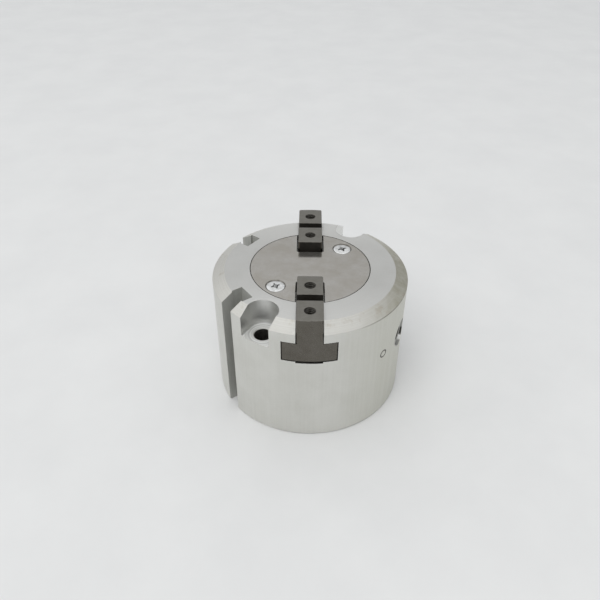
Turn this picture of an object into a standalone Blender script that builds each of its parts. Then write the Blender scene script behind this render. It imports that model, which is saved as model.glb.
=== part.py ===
"""Two-finger parallel gripper with a round body, driven by a pneumatic piston through a wedge cam.

The origin is the centre of the rear mounting face. +Z runs along the body's axis towards the
fingers, and the fingers slide along Y. The rest pose is fully closed, with the piston at its lower
stop. The piston's upward stroke opens the fingers.
"""

import math

import bmesh
import bpy
from mathutils import Matrix, Vector

MM = 0.001

# Driving dimensions of the body
BODY_RADIUS = 31.0 * MM
BODY_HEIGHT = 44.0 * MM
TOP_CHAMFER_WIDTH = 3.9 * MM
TOP_CHAMFER_HEIGHT = 2.3 * MM
REAR_CHAMFER = 0.5 * MM
ROUND_STEPS = 64
RING_STEPS = 48
PISTON_STEPS = 40

# Fits between neighbouring pieces
SLIDE_GAP = 0.15 * MM
SEAT_GAP = 0.10 * MM

# Cylinder bore and the stepped bores on the body's axis, from the rear face upwards
SEAT_RADIUS = 20.5 * MM
RING_GROOVE_RADIUS = 21.6 * MM
RING_GROOVE_LOW = 1.5 * MM
RING_GROOVE_HIGH = 2.9 * MM
CYLINDER_RADIUS = 20.0 * MM
CYLINDER_LOW = 8.1 * MM
CYLINDER_HIGH = 25.5 * MM
ROD_RADIUS = 6.0 * MM
ROD_BORE_RADIUS = 6.15 * MM
ROD_SEAL_GROOVE_RADIUS = 8.2 * MM
ROD_SEAL_GROOVE_LOW = 26.2 * MM
ROD_SEAL_GROOVE_HIGH = 28.0 * MM
CAM_CHAMBER_RADIUS = 11.9 * MM
CAM_CHAMBER_LOW = 28.5 * MM
COVER_SEAT_RADIUS = 19.1 * MM
COVER_SEAT_HEIGHT = 42.0 * MM

# T-slot that guides the fingers across the body
STEM_SLOT_WIDTH = 8.1 * MM
STEM_SLOT_LOW = 31.0 * MM
T_SLOT_WIDTH = 16.6 * MM
T_SLOT_LOW = 31.5 * MM
T_SLOT_HIGH = 38.6 * MM

# Fingers
FINGER_TOP = 47.0 * MM
FINGER_INNER = 9.55 * MM
FINGER_OUTER_RADIUS = 30.85 * MM
FINGER_STROKE = 4.0 * MM
KEYWAY_CENTRE = 20.15 * MM
KEYWAY_WIDTH = 2.8 * MM
KEYWAY_DEPTH = 2.8 * MM
FINGER_HOLE_PITCH = 12.1 * MM
FINGER_HOLE_RADIUS = 1.7 * MM
FINGER_HOLE_DEPTH = 8.5 * MM

# Wedge drive: the cam's slots lean inwards by this much for each unit of height
PISTON_STROKE = 5.0 * MM
WEDGE_SLOPE = FINGER_STROKE / PISTON_STROKE
CAM_LOW = 28.8 * MM
CAM_HIGH = 36.7 * MM
CAM_HALF_WIDTH = 6.0 * MM
CAM_ROUND_RADIUS = 11.6 * MM
HOOK_CENTRE_AT_CAM_LOW = 9.0 * MM
HOOK_HEAD_THICKNESS = 2.0 * MM
HOOK_HEAD_WIDTH = 6.0 * MM
HOOK_NECK_WIDTH = 3.2 * MM
CAM_LIP_OUTER = 2.4 * MM
FINGER_FACE_OFFSET = 2.65 * MM

# Piston
PISTON_RADIUS = 19.85 * MM
PISTON_LOW = 8.7 * MM
PISTON_HIGH = 19.6 * MM
ROD_TOP = CAM_LOW - SEAT_GAP
BUMPER_PROUD = 0.6 * MM
BUMPER_DEPTH = 0.9 * MM
BUMPER_INNER_RADIUS = 8.0 * MM
BUMPER_OUTER_RADIUS = 12.5 * MM
BOLT_SHANK_RADIUS = 2.4 * MM
BOLT_HOLE_RADIUS = 2.6 * MM
BOLT_HEAD_RADIUS = 4.25 * MM
BOLT_HEAD_HEIGHT = 5.0 * MM
BOLT_POCKET_RADIUS = 4.6 * MM
BOLT_POCKET_TOP = 14.7 * MM
BOLT_TOP = 34.2 * MM
BOLT_SOCKET_RADIUS = 2.3 * MM
BOLT_SOCKET_DEPTH = 2.5 * MM
PIN_RADIUS = 0.75 * MM
PIN_HOLE_RADIUS = 0.80 * MM
PIN_OFFSET = 4.0 * MM
PIN_HALF_LENGTH = 2.0 * MM

# Sensor grooves, at equal angles either side of -X
GROOVE_ANGLE = 143.7
GROOVE_MOUTH_WIDTH = 5.2 * MM
GROOVE_CHAMBER_WIDTH = 6.2 * MM
GROOVE_FLOOR_DISTANCE = 23.4 * MM
GROOVE_LIP_DISTANCE = 27.0 * MM

# Mounting holes with open counterbores, at two ends of one diameter
MOUNT_ANGLES = (-121.5, 58.5)
MOUNT_CIRCLE_RADIUS = 26.5 * MM
MOUNT_HOLE_RADIUS = 2.65 * MM
COUNTERBORE_RADIUS = 4.95 * MM
COUNTERBORE_FLOOR = 35.0 * MM
DOWEL_ANGLES = (121.5, -58.5)
DOWEL_RADIUS = 2.0 * MM
DOWEL_DEPTH = 4.5 * MM

# Air ports: (name, angle, height of the port, height where its passage meets the cylinder)
PORTS = (
    ("close", -21.0, 26.6 * MM, 23.6 * MM),
    ("open", 21.0, 11.0 * MM, 9.0 * MM),
)
PORT_SPOTFACE_RADIUS = 4.7 * MM
PORT_SPOTFACE_DISTANCE = 30.1 * MM
PORT_HOLE_RADIUS = 2.1 * MM
PORT_HOLE_END = 24.5 * MM
PORT_PASSAGE_RADIUS = 1.0 * MM

# Cover plate and its two countersunk screws
COVER_RADIUS = 18.9 * MM
COVER_SLOT_WIDTH = 8.8 * MM
COVER_SLOT_END = 8.3 * MM
COVER_SLOT_CORNER = 0.7 * MM
SCREW_OFFSET = 10.5 * MM
SCREW_HEAD_RADIUS = 2.8 * MM
SCREW_HEAD_HEIGHT = 1.45 * MM
SCREW_SHANK_RADIUS = 1.45 * MM
SCREW_LENGTH = 8.0 * MM
SCREW_HOLE_RADIUS = 1.6 * MM
SCREW_SINK = 0.05 * MM
SCREW_RIM = 0.15 * MM
SCREW_TIP = 0.5 * MM
COUNTERSINK_RADIUS = 3.15 * MM
COUNTERSINK_DEPTH = 1.65 * MM
RECESS_ACROSS = 3.2 * MM
RECESS_WIDTH = 0.7 * MM
RECESS_DEPTH = 1.3 * MM
RECESS_TAPER = 0.45
RECESS_ANGLES = (20.0, 110.0)

OVERCUT = 1.0 * MM

COLOURS = {
    "anodised_aluminium": ((0.62, 0.63, 0.61), 0.45, 0.8),
    "cover_steel": ((0.42, 0.40, 0.38), 0.4, 0.9),
    "black_steel": ((0.09, 0.085, 0.075), 0.5, 0.8),
    "plated_steel": ((0.75, 0.76, 0.78), 0.25, 1.0),
    "spring_steel": ((0.10, 0.10, 0.11), 0.4, 0.9),
    "black_rubber": ((0.02, 0.02, 0.022), 0.7, 0.0),
    "urethane": ((0.55, 0.28, 0.08), 0.6, 0.0),
    "magnet_rubber": ((0.06, 0.055, 0.055), 0.65, 0.0),
    "wear_resin": ((0.78, 0.74, 0.62), 0.5, 0.0),
}


def clear_scene():
    """Removes whatever the scene holds and makes the two collections."""
    for obj in list(bpy.data.objects):
        bpy.data.objects.remove(obj, do_unlink=True)
    made = []
    for name in ("pneumatic_gripper", "cutters"):
        collection = bpy.data.collections.new(name)
        bpy.context.scene.collection.children.link(collection)
        made.append(collection)
    return made


PARTS, CUTTERS = clear_scene()


def material(name):
    """The Principled material of one finish, made once."""
    found = bpy.data.materials.get(name)
    if found:
        return found
    colour, roughness, metallic = COLOURS[name]
    made = bpy.data.materials.new(name)
    made.use_nodes = True
    shader = made.node_tree.nodes["Principled BSDF"]
    shader.inputs["Base Color"].default_value = (*colour, 1.0)
    shader.inputs["Roughness"].default_value = roughness
    shader.inputs["Metallic"].default_value = metallic
    return made


def put_in(collection, obj):
    """Moves obj to one collection only."""
    for other in list(obj.users_collection):
        other.objects.unlink(obj)
    collection.objects.link(obj)
    if collection is CUTTERS:
        obj.hide_render = True
        obj.display_type = "WIRE"
    return obj


def object_of(name, mesh):
    obj = bpy.data.objects.new(name, mesh)
    bpy.context.scene.collection.objects.link(obj)
    return put_in(CUTTERS, obj)


def cylinder(name, radius, low, high, centre=(0.0, 0.0), segments=48, top_radius=None):
    """An upright cylinder or cone between two heights."""
    bm = bmesh.new()
    bmesh.ops.create_cone(
        bm,
        cap_ends=True,
        segments=segments,
        radius1=radius,
        radius2=radius if top_radius is None else top_radius,
        depth=high - low,
    )
    mesh = bpy.data.meshes.new(name)
    bm.to_mesh(mesh)
    bm.free()
    obj = object_of(name, mesh)
    obj.location = (*centre, (low + high) / 2)
    return obj


def box(name, low, high):
    """A box between two corners."""
    bm = bmesh.new()
    bmesh.ops.create_cube(bm, size=1.0)
    size = Vector(high) - Vector(low)
    bmesh.ops.scale(bm, vec=size, verts=bm.verts)
    bmesh.ops.translate(bm, vec=(Vector(low) + Vector(high)) / 2, verts=bm.verts)
    mesh = bpy.data.meshes.new(name)
    bm.to_mesh(mesh)
    bm.free()
    return object_of(name, mesh)


def radial_cylinder(name, radius, start, end, segments=32):
    """A cylinder between two points that lie anywhere."""
    start, end = Vector(start), Vector(end)
    obj = cylinder(name, radius, 0.0, (end - start).length, segments=segments)
    obj.location = (start + end) / 2
    obj.rotation_mode = "QUATERNION"
    obj.rotation_quaternion = (end - start).to_track_quat("Z", "Y")
    return obj


def turned(name, profile, steps=ROUND_STEPS):
    """A closed (radius, height) profile turned round Z. It runs down its outer side."""
    mesh = bpy.data.meshes.new(name)
    count = len(profile)
    edges = [(i, (i + 1) % count) for i in range(count)]
    mesh.from_pydata([(radius, 0.0, height) for radius, height in profile], edges, [])
    obj = object_of(name, mesh)
    screw = obj.modifiers.new("turn", "SCREW")
    screw.angle = math.tau
    screw.steps = steps
    screw.render_steps = steps
    screw.use_merge_vertices = True
    screw.merge_threshold = 0.00001
    return obj


def baked(obj):
    """obj as a plain mesh object with its modifiers applied, or its curve turned to a mesh."""
    bpy.context.view_layer.update()
    graph = bpy.context.evaluated_depsgraph_get()
    mesh = bpy.data.meshes.new_from_object(obj.evaluated_get(graph))
    bm = bmesh.new()
    bm.from_mesh(mesh)
    bmesh.ops.remove_doubles(bm, verts=bm.verts, dist=0.000001)
    bm.to_mesh(mesh)
    bm.free()
    name, matrix = obj.name, obj.matrix_world.copy()
    bpy.data.objects.remove(obj, do_unlink=True)
    made = object_of(name, mesh)
    made.name = name
    made.matrix_world = matrix
    return made


def prism(name, outlines, low, high):
    """A flat outline, or an outline with holes in it, given thickness between two heights."""
    curve = bpy.data.curves.new(name, "CURVE")
    curve.dimensions = "2D"
    curve.fill_mode = "BOTH"
    curve.extrude = (high - low) / 2
    for outline in outlines:
        spline = curve.splines.new("POLY")
        spline.points.add(len(outline) - 1)
        for point, (x, y) in zip(spline.points, outline):
            point.co = (x, y, 0.0, 1.0)
        spline.use_cyclic_u = True
    obj = object_of(name, curve)
    obj.location.z = (low + high) / 2
    made = baked(obj)
    made.data.transform(made.matrix_world)
    made.matrix_world = Matrix.Identity(4)
    return made


def arc(radius, start, end, count, centre=(0.0, 0.0)):
    """Points on an arc, in degrees, both ends included."""
    return [
        (
            centre[0] + radius * math.cos(math.radians(start + (end - start) * i / count)),
            centre[1] + radius * math.sin(math.radians(start + (end - start) * i / count)),
        )
        for i in range(count + 1)
    ]


def polar(radius, degrees, height):
    angle = math.radians(degrees)
    return (radius * math.cos(angle), radius * math.sin(angle), height)


def boolean(obj, other, operation="DIFFERENCE"):
    modifier = obj.modifiers.new(other.name, "BOOLEAN")
    modifier.operation = operation
    modifier.solver = "EXACT"
    modifier.object = other
    return obj


def finish(obj, name, finish_name, origin=(0.0, 0.0, 0.0)):
    """Bakes obj, gives it its name, finish, smooth round faces and origin, and adds it to the parts."""
    made = baked(obj)
    made.name = name
    made.data.name = name
    made.data.transform(made.matrix_world)
    made.data.transform(Matrix.Translation(-Vector(origin)))
    made.matrix_world = Matrix.Translation(origin)
    made.hide_render = False
    made.display_type = "TEXTURED"
    made.data.materials.clear()
    made.data.materials.append(material(finish_name))
    made.data.shade_smooth()
    made.data.set_sharp_from_angle(angle=math.radians(30))
    return put_in(PARTS, made)


def hook_centre(height):
    """Distance of a finger hook's centre from the axis at one height, in the closed pose."""
    return HOOK_CENTRE_AT_CAM_LOW - WEDGE_SLOPE * (height - CAM_LOW)


def leaning(obj):
    """Shears obj along Y with height, so that what is drawn at cam-bottom height follows the wedge."""
    shear = Matrix.Identity(4)
    shear[1][2] = -WEDGE_SLOPE
    shear[1][3] = WEDGE_SLOPE * CAM_LOW
    obj.data.transform(shear)
    return obj


# Body ---------------------------------------------------------------------------------------


def body_profile():
    top_edge = BODY_RADIUS - TOP_CHAMFER_WIDTH
    return [
        (top_edge, BODY_HEIGHT),
        (BODY_RADIUS, BODY_HEIGHT - TOP_CHAMFER_HEIGHT),
        (BODY_RADIUS, REAR_CHAMFER),
        (BODY_RADIUS - REAR_CHAMFER, 0.0),
        (SEAT_RADIUS + REAR_CHAMFER, 0.0),
        (SEAT_RADIUS, REAR_CHAMFER),
        (SEAT_RADIUS, RING_GROOVE_LOW),
        (RING_GROOVE_RADIUS, RING_GROOVE_LOW),
        (RING_GROOVE_RADIUS, RING_GROOVE_HIGH),
        (SEAT_RADIUS, RING_GROOVE_HIGH),
        (SEAT_RADIUS, CYLINDER_LOW),
        (CYLINDER_RADIUS, CYLINDER_LOW),
        (CYLINDER_RADIUS, CYLINDER_HIGH),
        (ROD_BORE_RADIUS, CYLINDER_HIGH),
        (ROD_BORE_RADIUS, ROD_SEAL_GROOVE_LOW),
        (ROD_SEAL_GROOVE_RADIUS, ROD_SEAL_GROOVE_LOW),
        (ROD_SEAL_GROOVE_RADIUS, ROD_SEAL_GROOVE_HIGH),
        (ROD_BORE_RADIUS, ROD_SEAL_GROOVE_HIGH),
        (ROD_BORE_RADIUS, CAM_CHAMBER_LOW),
        (CAM_CHAMBER_RADIUS, CAM_CHAMBER_LOW),
        (CAM_CHAMBER_RADIUS, COVER_SEAT_HEIGHT),
        (COVER_SEAT_RADIUS, COVER_SEAT_HEIGHT),
        (COVER_SEAT_RADIUS, BODY_HEIGHT),
    ]


def finger_slot_cutters():
    reach = BODY_RADIUS + OVERCUT
    sizes = (
        ("stem_slot", STEM_SLOT_WIDTH, STEM_SLOT_LOW, BODY_HEIGHT + OVERCUT),
        ("t_slot", T_SLOT_WIDTH, T_SLOT_LOW, T_SLOT_HIGH),
    )
    return [
        box(name, (-width / 2, -reach, low), (width / 2, reach, high))
        for name, width, low, high in sizes
    ]


def sensor_groove_cutters():
    cutters = []
    for side, angle in (("front", -GROOVE_ANGLE), ("back", GROOVE_ANGLE)):
        sizes = (
            ("mouth", GROOVE_MOUTH_WIDTH, BODY_RADIUS + OVERCUT),
            ("chamber", GROOVE_CHAMBER_WIDTH, GROOVE_LIP_DISTANCE),
        )
        for part, width, reach in sizes:
            cutter = box(
                f"sensor_groove_{side}_{part}",
                (GROOVE_FLOOR_DISTANCE, -width / 2, -OVERCUT),
                (reach, width / 2, BODY_HEIGHT + OVERCUT),
            )
            cutter.rotation_euler.z = math.radians(angle)
            cutters.append(cutter)
    return cutters


def counterbore_outline():
    """A round-ended slot that leaves the body's side, drawn along +X from the hole's centre."""
    reach = BODY_RADIUS + 2 * OVERCUT
    ends = arc(COUNTERBORE_RADIUS, 90, 270, 20, (MOUNT_CIRCLE_RADIUS, 0.0))
    return ends + [(reach, -COUNTERBORE_RADIUS), (reach, COUNTERBORE_RADIUS)]


def mounting_cutters():
    cutters = []
    for index, angle in enumerate(MOUNT_ANGLES):
        slot = prism(
            f"counterbore_{index}",
            [counterbore_outline()],
            COUNTERBORE_FLOOR,
            BODY_HEIGHT + OVERCUT,
        )
        slot.rotation_euler.z = math.radians(angle)
        centre = polar(MOUNT_CIRCLE_RADIUS, angle, 0.0)[:2]
        hole = cylinder(
            f"mount_hole_{index}",
            MOUNT_HOLE_RADIUS,
            -OVERCUT,
            COUNTERBORE_FLOOR + OVERCUT,
            centre,
            segments=32,
        )
        cutters += [slot, hole]
    for index, angle in enumerate(DOWEL_ANGLES):
        centre = polar(MOUNT_CIRCLE_RADIUS, angle, 0.0)[:2]
        cutters.append(
            cylinder(f"dowel_hole_{index}", DOWEL_RADIUS, -OVERCUT, DOWEL_DEPTH, centre, 32)
        )
    return cutters


def port_cutters():
    cutters = []
    outside = BODY_RADIUS + 2 * OVERCUT
    passage_start = PORT_HOLE_END + PORT_PASSAGE_RADIUS
    for name, angle, height, inner_height in PORTS:
        spotface = radial_cylinder(
            f"{name}_port_spotface",
            PORT_SPOTFACE_RADIUS,
            polar(PORT_SPOTFACE_DISTANCE, angle, height),
            polar(outside, angle, height),
            segments=40,
        )
        hole = radial_cylinder(
            f"{name}_port_hole",
            PORT_HOLE_RADIUS,
            polar(PORT_HOLE_END, angle, height),
            polar(outside, angle, height),
        )
        passage = radial_cylinder(
            f"{name}_port_passage",
            PORT_PASSAGE_RADIUS,
            polar(CYLINDER_RADIUS - OVERCUT, angle, inner_height),
            polar(passage_start, angle, height),
            segments=16,
        )
        cutters += [spotface, hole, passage]
    return cutters


def screw_hole_cutters():
    low = BODY_HEIGHT - SCREW_LENGTH - OVERCUT
    return [
        cylinder(
            f"screw_hole_{index}",
            SCREW_HOLE_RADIUS,
            low,
            COVER_SEAT_HEIGHT + OVERCUT,
            (sign * SCREW_OFFSET, sign * SCREW_OFFSET),
            segments=24,
        )
        for index, sign in enumerate((-1, 1))
    ]


def make_body():
    obj = turned("body_blank", body_profile())
    cutters = (
        finger_slot_cutters()
        + sensor_groove_cutters()
        + mounting_cutters()
        + port_cutters()
        + screw_hole_cutters()
    )
    for cutter in cutters:
        boolean(obj, cutter)
    return finish(obj, "body", "anodised_aluminium")


# Cover plate and screws ---------------------------------------------------------------------


def cover_slot_outline(sign):
    """The slot that a finger passes through: open at the rim, with rounded inner corners."""
    half, reach = COVER_SLOT_WIDTH / 2, COVER_RADIUS + OVERCUT
    corner_x, corner_y = half - COVER_SLOT_CORNER, COVER_SLOT_END + COVER_SLOT_CORNER
    right = arc(COVER_SLOT_CORNER, 0, -90, 5, (corner_x, corner_y))
    left = arc(COVER_SLOT_CORNER, -90, -180, 5, (-corner_x, corner_y))
    points = [(half, reach)] + right + left + [(-half, reach)]
    return [(sign * x, sign * y) for x, y in points]


def make_cover_plate():
    low = COVER_SEAT_HEIGHT + SEAT_GAP
    obj = cylinder("cover_blank", COVER_RADIUS, low, BODY_HEIGHT, segments=ROUND_STEPS)
    for sign in (-1, 1):
        slot = prism(
            f"cover_slot_{sign}",
            [cover_slot_outline(sign)],
            low - OVERCUT,
            BODY_HEIGHT + OVERCUT,
        )
        centre = (sign * SCREW_OFFSET, sign * SCREW_OFFSET)
        hole = cylinder(
            f"cover_hole_{sign}", SCREW_HOLE_RADIUS, low - OVERCUT, BODY_HEIGHT, centre, 24
        )
        sink = cylinder(
            f"countersink_{sign}",
            COUNTERSINK_RADIUS - COUNTERSINK_DEPTH,
            BODY_HEIGHT - COUNTERSINK_DEPTH,
            BODY_HEIGHT + OVERCUT,
            centre,
            segments=32,
            top_radius=COUNTERSINK_RADIUS + OVERCUT,
        )
        for cutter in (slot, hole, sink):
            boolean(obj, cutter)
    return finish(obj, "cover_plate", "cover_steel", (0, 0, low))


def cross_recess(name, centre, top):
    """A cross-shaped driver recess, as two tapering blades that a screw head is cut with."""
    blades = []
    for index, angle in enumerate(RECESS_ANGLES):
        blade = box(
            f"{name}_blade_{index}",
            (-RECESS_ACROSS / 2, -RECESS_WIDTH / 2, -RECESS_DEPTH),
            (RECESS_ACROSS / 2, RECESS_WIDTH / 2, OVERCUT),
        )
        for vertex in blade.data.vertices:
            if vertex.co.z < 0:
                vertex.co.x *= RECESS_TAPER
        blade.location = (*centre, top)
        blade.rotation_euler.z = math.radians(angle)
        blades.append(blade)
    return blades


def make_cover_screw(name, sign):
    """A countersunk cross-recessed screw. Its head sits just under the cover's face."""
    centre = (sign * SCREW_OFFSET, sign * SCREW_OFFSET)
    top = BODY_HEIGHT - SCREW_SINK
    head_low = top - SCREW_HEAD_HEIGHT
    bottom = top - SCREW_LENGTH
    half_turn = [
        (0.0, top),
        (SCREW_HEAD_RADIUS, top),
        (SCREW_HEAD_RADIUS, top - SCREW_RIM),
        (SCREW_SHANK_RADIUS, head_low),
        (SCREW_SHANK_RADIUS, bottom + SCREW_TIP),
        (SCREW_SHANK_RADIUS - SCREW_TIP, bottom),
        (0.0, bottom),
    ]
    obj = turned(f"{name}_blank", half_turn, steps=32)
    obj.location = (*centre, 0.0)
    obj = baked(obj)
    for blade in cross_recess(name, centre, top):
        boolean(obj, blade)
    return finish(obj, name, "plated_steel", (*centre, top))


# Fingers ------------------------------------------------------------------------------------


def hook_boxes(name, clearance, neck_end, low, high):
    """The head and neck of a finger's hook, on +Y, as two boxes that lean with the wedge."""
    head_x = HOOK_HEAD_WIDTH / 2 + clearance
    neck_x = HOOK_NECK_WIDTH / 2 + clearance
    centre = HOOK_CENTRE_AT_CAM_LOW
    half = HOOK_HEAD_THICKNESS / 2 + clearance
    head = box(f"{name}_head", (-head_x, centre - half, low), (head_x, centre + half, high))
    neck = box(f"{name}_neck", (-neck_x, centre, low), (neck_x, neck_end, high))
    return leaning(head), leaning(neck)


def finger_base(name):
    """The T-shaped base with its leaning hook, on the +Y side."""
    half = T_SLOT_WIDTH / 2 - SLIDE_GAP
    face = HOOK_CENTRE_AT_CAM_LOW + FINGER_FACE_OFFSET
    reach = BODY_RADIUS + WEDGE_SLOPE * (T_SLOT_HIGH - CAM_LOW)
    low, high = T_SLOT_LOW + SLIDE_GAP, T_SLOT_HIGH - SLIDE_GAP
    base = leaning(box(name, (-half, face, low), (half, reach, high)))
    head, neck = hook_boxes(name, 0.0, face + OVERCUT, low, high)
    boolean(base, neck, "UNION")
    return boolean(base, head, "UNION")


def make_finger(name, turn):
    """A finger built on +Y in the closed pose, then turned about Z to its own side."""
    half = STEM_SLOT_WIDTH / 2 - SLIDE_GAP
    low = T_SLOT_HIGH - SLIDE_GAP - OVERCUT
    base = finger_base(f"{name}_base")
    stem = box(f"{name}_stem", (-half, FINGER_INNER, low), (half, BODY_RADIUS + OVERCUT, FINGER_TOP))
    boolean(base, stem, "UNION")
    end = cylinder(
        f"{name}_end", FINGER_OUTER_RADIUS, T_SLOT_LOW, FINGER_TOP + OVERCUT, segments=96
    )
    boolean(base, end, "INTERSECT")
    keyway = box(
        f"{name}_keyway",
        (-T_SLOT_WIDTH, KEYWAY_CENTRE - KEYWAY_WIDTH / 2, FINGER_TOP - KEYWAY_DEPTH),
        (T_SLOT_WIDTH, KEYWAY_CENTRE + KEYWAY_WIDTH / 2, FINGER_TOP + OVERCUT),
    )
    boolean(base, keyway)
    for index, side in enumerate((-1, 1)):
        hole = cylinder(
            f"{name}_hole_{index}",
            FINGER_HOLE_RADIUS,
            FINGER_TOP - FINGER_HOLE_DEPTH,
            FINGER_TOP + OVERCUT,
            (0.0, KEYWAY_CENTRE + side * FINGER_HOLE_PITCH / 2),
            segments=24,
        )
        boolean(base, hole)
    finger = baked(base)
    finger.data.transform(Matrix.Rotation(turn, 4, "Z"))
    origin = Matrix.Rotation(turn, 4, "Z") @ Vector((0.0, KEYWAY_CENTRE, T_SLOT_LOW))
    return finish(finger, name, "black_steel", origin)


# Piston and cam -----------------------------------------------------------------------------


def groove(radius, low, high, outer):
    """The four profile points of a groove turned into a surface, going downwards."""
    return [(outer, high), (radius, high), (radius, low), (outer, low)]


# Each groove: (radius of its floor, low, high)
SEAL_GROOVE = (17.6 * MM, 16.3 * MM, 18.3 * MM)
MAGNET_GROOVE = (17.1 * MM, 12.0 * MM, 15.0 * MM)
WEAR_GROOVE = (18.6 * MM, 9.7 * MM, 11.3 * MM)
BOLT_SEAL_RADIUS = 3.7 * MM
BOLT_SEAL_LOW = BOLT_POCKET_TOP + 0.05 * MM
BOLT_SEAL_HIGH = BOLT_POCKET_TOP + 1.1 * MM


def make_piston():
    edge, rod_edge = 0.6 * MM, 0.3 * MM
    recess_high = PISTON_HIGH - BUMPER_DEPTH
    recess_low = PISTON_LOW + BUMPER_DEPTH
    inner, outer = BUMPER_INNER_RADIUS - SEAT_GAP, BUMPER_OUTER_RADIUS + SEAT_GAP
    seal_pocket_radius, seal_pocket_top = BOLT_SEAL_RADIUS + SEAT_GAP, BOLT_SEAL_HIGH + SEAT_GAP
    profile = [
        (ROD_RADIUS - rod_edge, ROD_TOP),
        (ROD_RADIUS, ROD_TOP - rod_edge),
        (ROD_RADIUS, PISTON_HIGH),
        (inner, PISTON_HIGH),
        (inner, recess_high),
        (outer, recess_high),
        (outer, PISTON_HIGH),
        (PISTON_RADIUS - edge, PISTON_HIGH),
        (PISTON_RADIUS, PISTON_HIGH - edge),
        *groove(*SEAL_GROOVE, PISTON_RADIUS),
        *groove(*MAGNET_GROOVE, PISTON_RADIUS),
        *groove(*WEAR_GROOVE, PISTON_RADIUS),
        (PISTON_RADIUS, PISTON_LOW + edge),
        (PISTON_RADIUS - edge, PISTON_LOW),
        (outer, PISTON_LOW),
        (outer, recess_low),
        (inner, recess_low),
        (inner, PISTON_LOW),
        (BOLT_POCKET_RADIUS, PISTON_LOW),
        (BOLT_POCKET_RADIUS, BOLT_POCKET_TOP),
        (seal_pocket_radius, BOLT_POCKET_TOP),
        (seal_pocket_radius, seal_pocket_top),
        (BOLT_HOLE_RADIUS, seal_pocket_top),
        (BOLT_HOLE_RADIUS, ROD_TOP),
    ]
    obj = turned("piston_blank", profile, PISTON_STEPS)
    boolean(
        obj,
        cylinder(
            "rod_pin_hole",
            PIN_HOLE_RADIUS,
            CAM_LOW - PIN_HALF_LENGTH - SEAT_GAP,
            CAM_LOW + OVERCUT,
            (PIN_OFFSET, 0.0),
            segments=16,
        ),
    )
    return finish(obj, "piston", "anodised_aluminium", (0, 0, PISTON_LOW))


def make_cam():
    """A wedge block with a leaning T-slot on each side that pulls the finger hooks in and out."""

    def lip(height):
        return hook_centre(height) + CAM_LIP_OUTER

    flanks = [
        (lip(CAM_LOW), CAM_LOW),
        (lip(CAM_HIGH), CAM_HIGH),
        (-lip(CAM_HIGH), CAM_HIGH),
        (-lip(CAM_LOW), CAM_LOW),
    ]
    obj = prism("cam_blank", [flanks], -CAM_HALF_WIDTH, CAM_HALF_WIDTH)
    upright = Matrix(((0, 0, 1, 0), (1, 0, 0, 0), (0, 1, 0, 0), (0, 0, 0, 1)))
    obj.data.transform(upright)
    boolean(
        obj,
        cylinder("cam_round", CAM_ROUND_RADIUS, CAM_LOW - OVERCUT, CAM_HIGH + OVERCUT, segments=64),
        "INTERSECT",
    )
    neck_end = HOOK_CENTRE_AT_CAM_LOW + CAM_LIP_OUTER + OVERCUT
    for index, turn in enumerate((0.0, math.pi)):
        low, high = CAM_LOW - OVERCUT, CAM_HIGH + OVERCUT
        for slot in hook_boxes(f"cam_slot_{index}", SLIDE_GAP, neck_end, low, high):
            slot.data.transform(Matrix.Rotation(turn, 4, "Z"))
            boolean(obj, slot)
    thread_top = BOLT_TOP + 2 * SEAT_GAP
    low = CAM_LOW - OVERCUT
    boolean(obj, cylinder("cam_thread", BOLT_SHANK_RADIUS + SEAT_GAP, low, thread_top, segments=24))
    pin_top = CAM_LOW + PIN_HALF_LENGTH + SEAT_GAP
    boolean(obj, cylinder("cam_pin_hole", PIN_HOLE_RADIUS, low, pin_top, (PIN_OFFSET, 0.0), 16))
    return finish(obj, "cam", "black_steel", (0, 0, CAM_LOW))


def make_cam_bolt():
    """The socket-head screw that clamps the cam to the piston rod from below."""
    head_high = BOLT_POCKET_TOP - SEAT_GAP
    head_low = head_high - BOLT_HEAD_HEIGHT
    edge = 0.3 * MM
    profile = [
        (0.0, BOLT_TOP),
        (BOLT_SHANK_RADIUS - edge, BOLT_TOP),
        (BOLT_SHANK_RADIUS, BOLT_TOP - edge),
        (BOLT_SHANK_RADIUS, head_high),
        (BOLT_HEAD_RADIUS, head_high),
        (BOLT_HEAD_RADIUS, head_low + edge),
        (BOLT_HEAD_RADIUS - edge, head_low),
        (0.0, head_low),
    ]
    obj = turned("cam_bolt_blank", profile, steps=32)
    socket = cylinder(
        "cam_bolt_socket",
        BOLT_SOCKET_RADIUS,
        head_low - OVERCUT,
        head_low + BOLT_SOCKET_DEPTH,
        segments=6,
    )
    boolean(obj, socket)
    return finish(obj, "cam_bolt", "black_steel", (0, 0, head_low))


def make_cam_pin():
    obj = cylinder(
        "cam_pin_blank",
        PIN_RADIUS,
        CAM_LOW - PIN_HALF_LENGTH,
        CAM_LOW + PIN_HALF_LENGTH,
        (PIN_OFFSET, 0.0),
        segments=16,
    )
    return finish(obj, "cam_pin", "plated_steel", (PIN_OFFSET, 0, CAM_LOW))


# Rings and seals ----------------------------------------------------------------------------


def rounded_section(inner, outer, low, high, corner, count=1):
    """A rectangular section with rounded corners, running down its outer side."""
    corners = (
        (outer - corner, high - corner, 90, 0),
        (outer - corner, low + corner, 0, -90),
        (inner + corner, low + corner, -90, -180),
        (inner + corner, high - corner, -180, -270),
    )
    points = []
    for x, z, start, end in corners:
        points += arc(corner, start, end, count, (x, z))
    return points


def make_ring(name, finish_name, inner, outer, low, high, corner, steps=RING_STEPS):
    profile = rounded_section(inner, outer, low, high, corner)
    return finish(turned(f"{name}_blank", profile, steps), name, finish_name, (0, 0, low))


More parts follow.
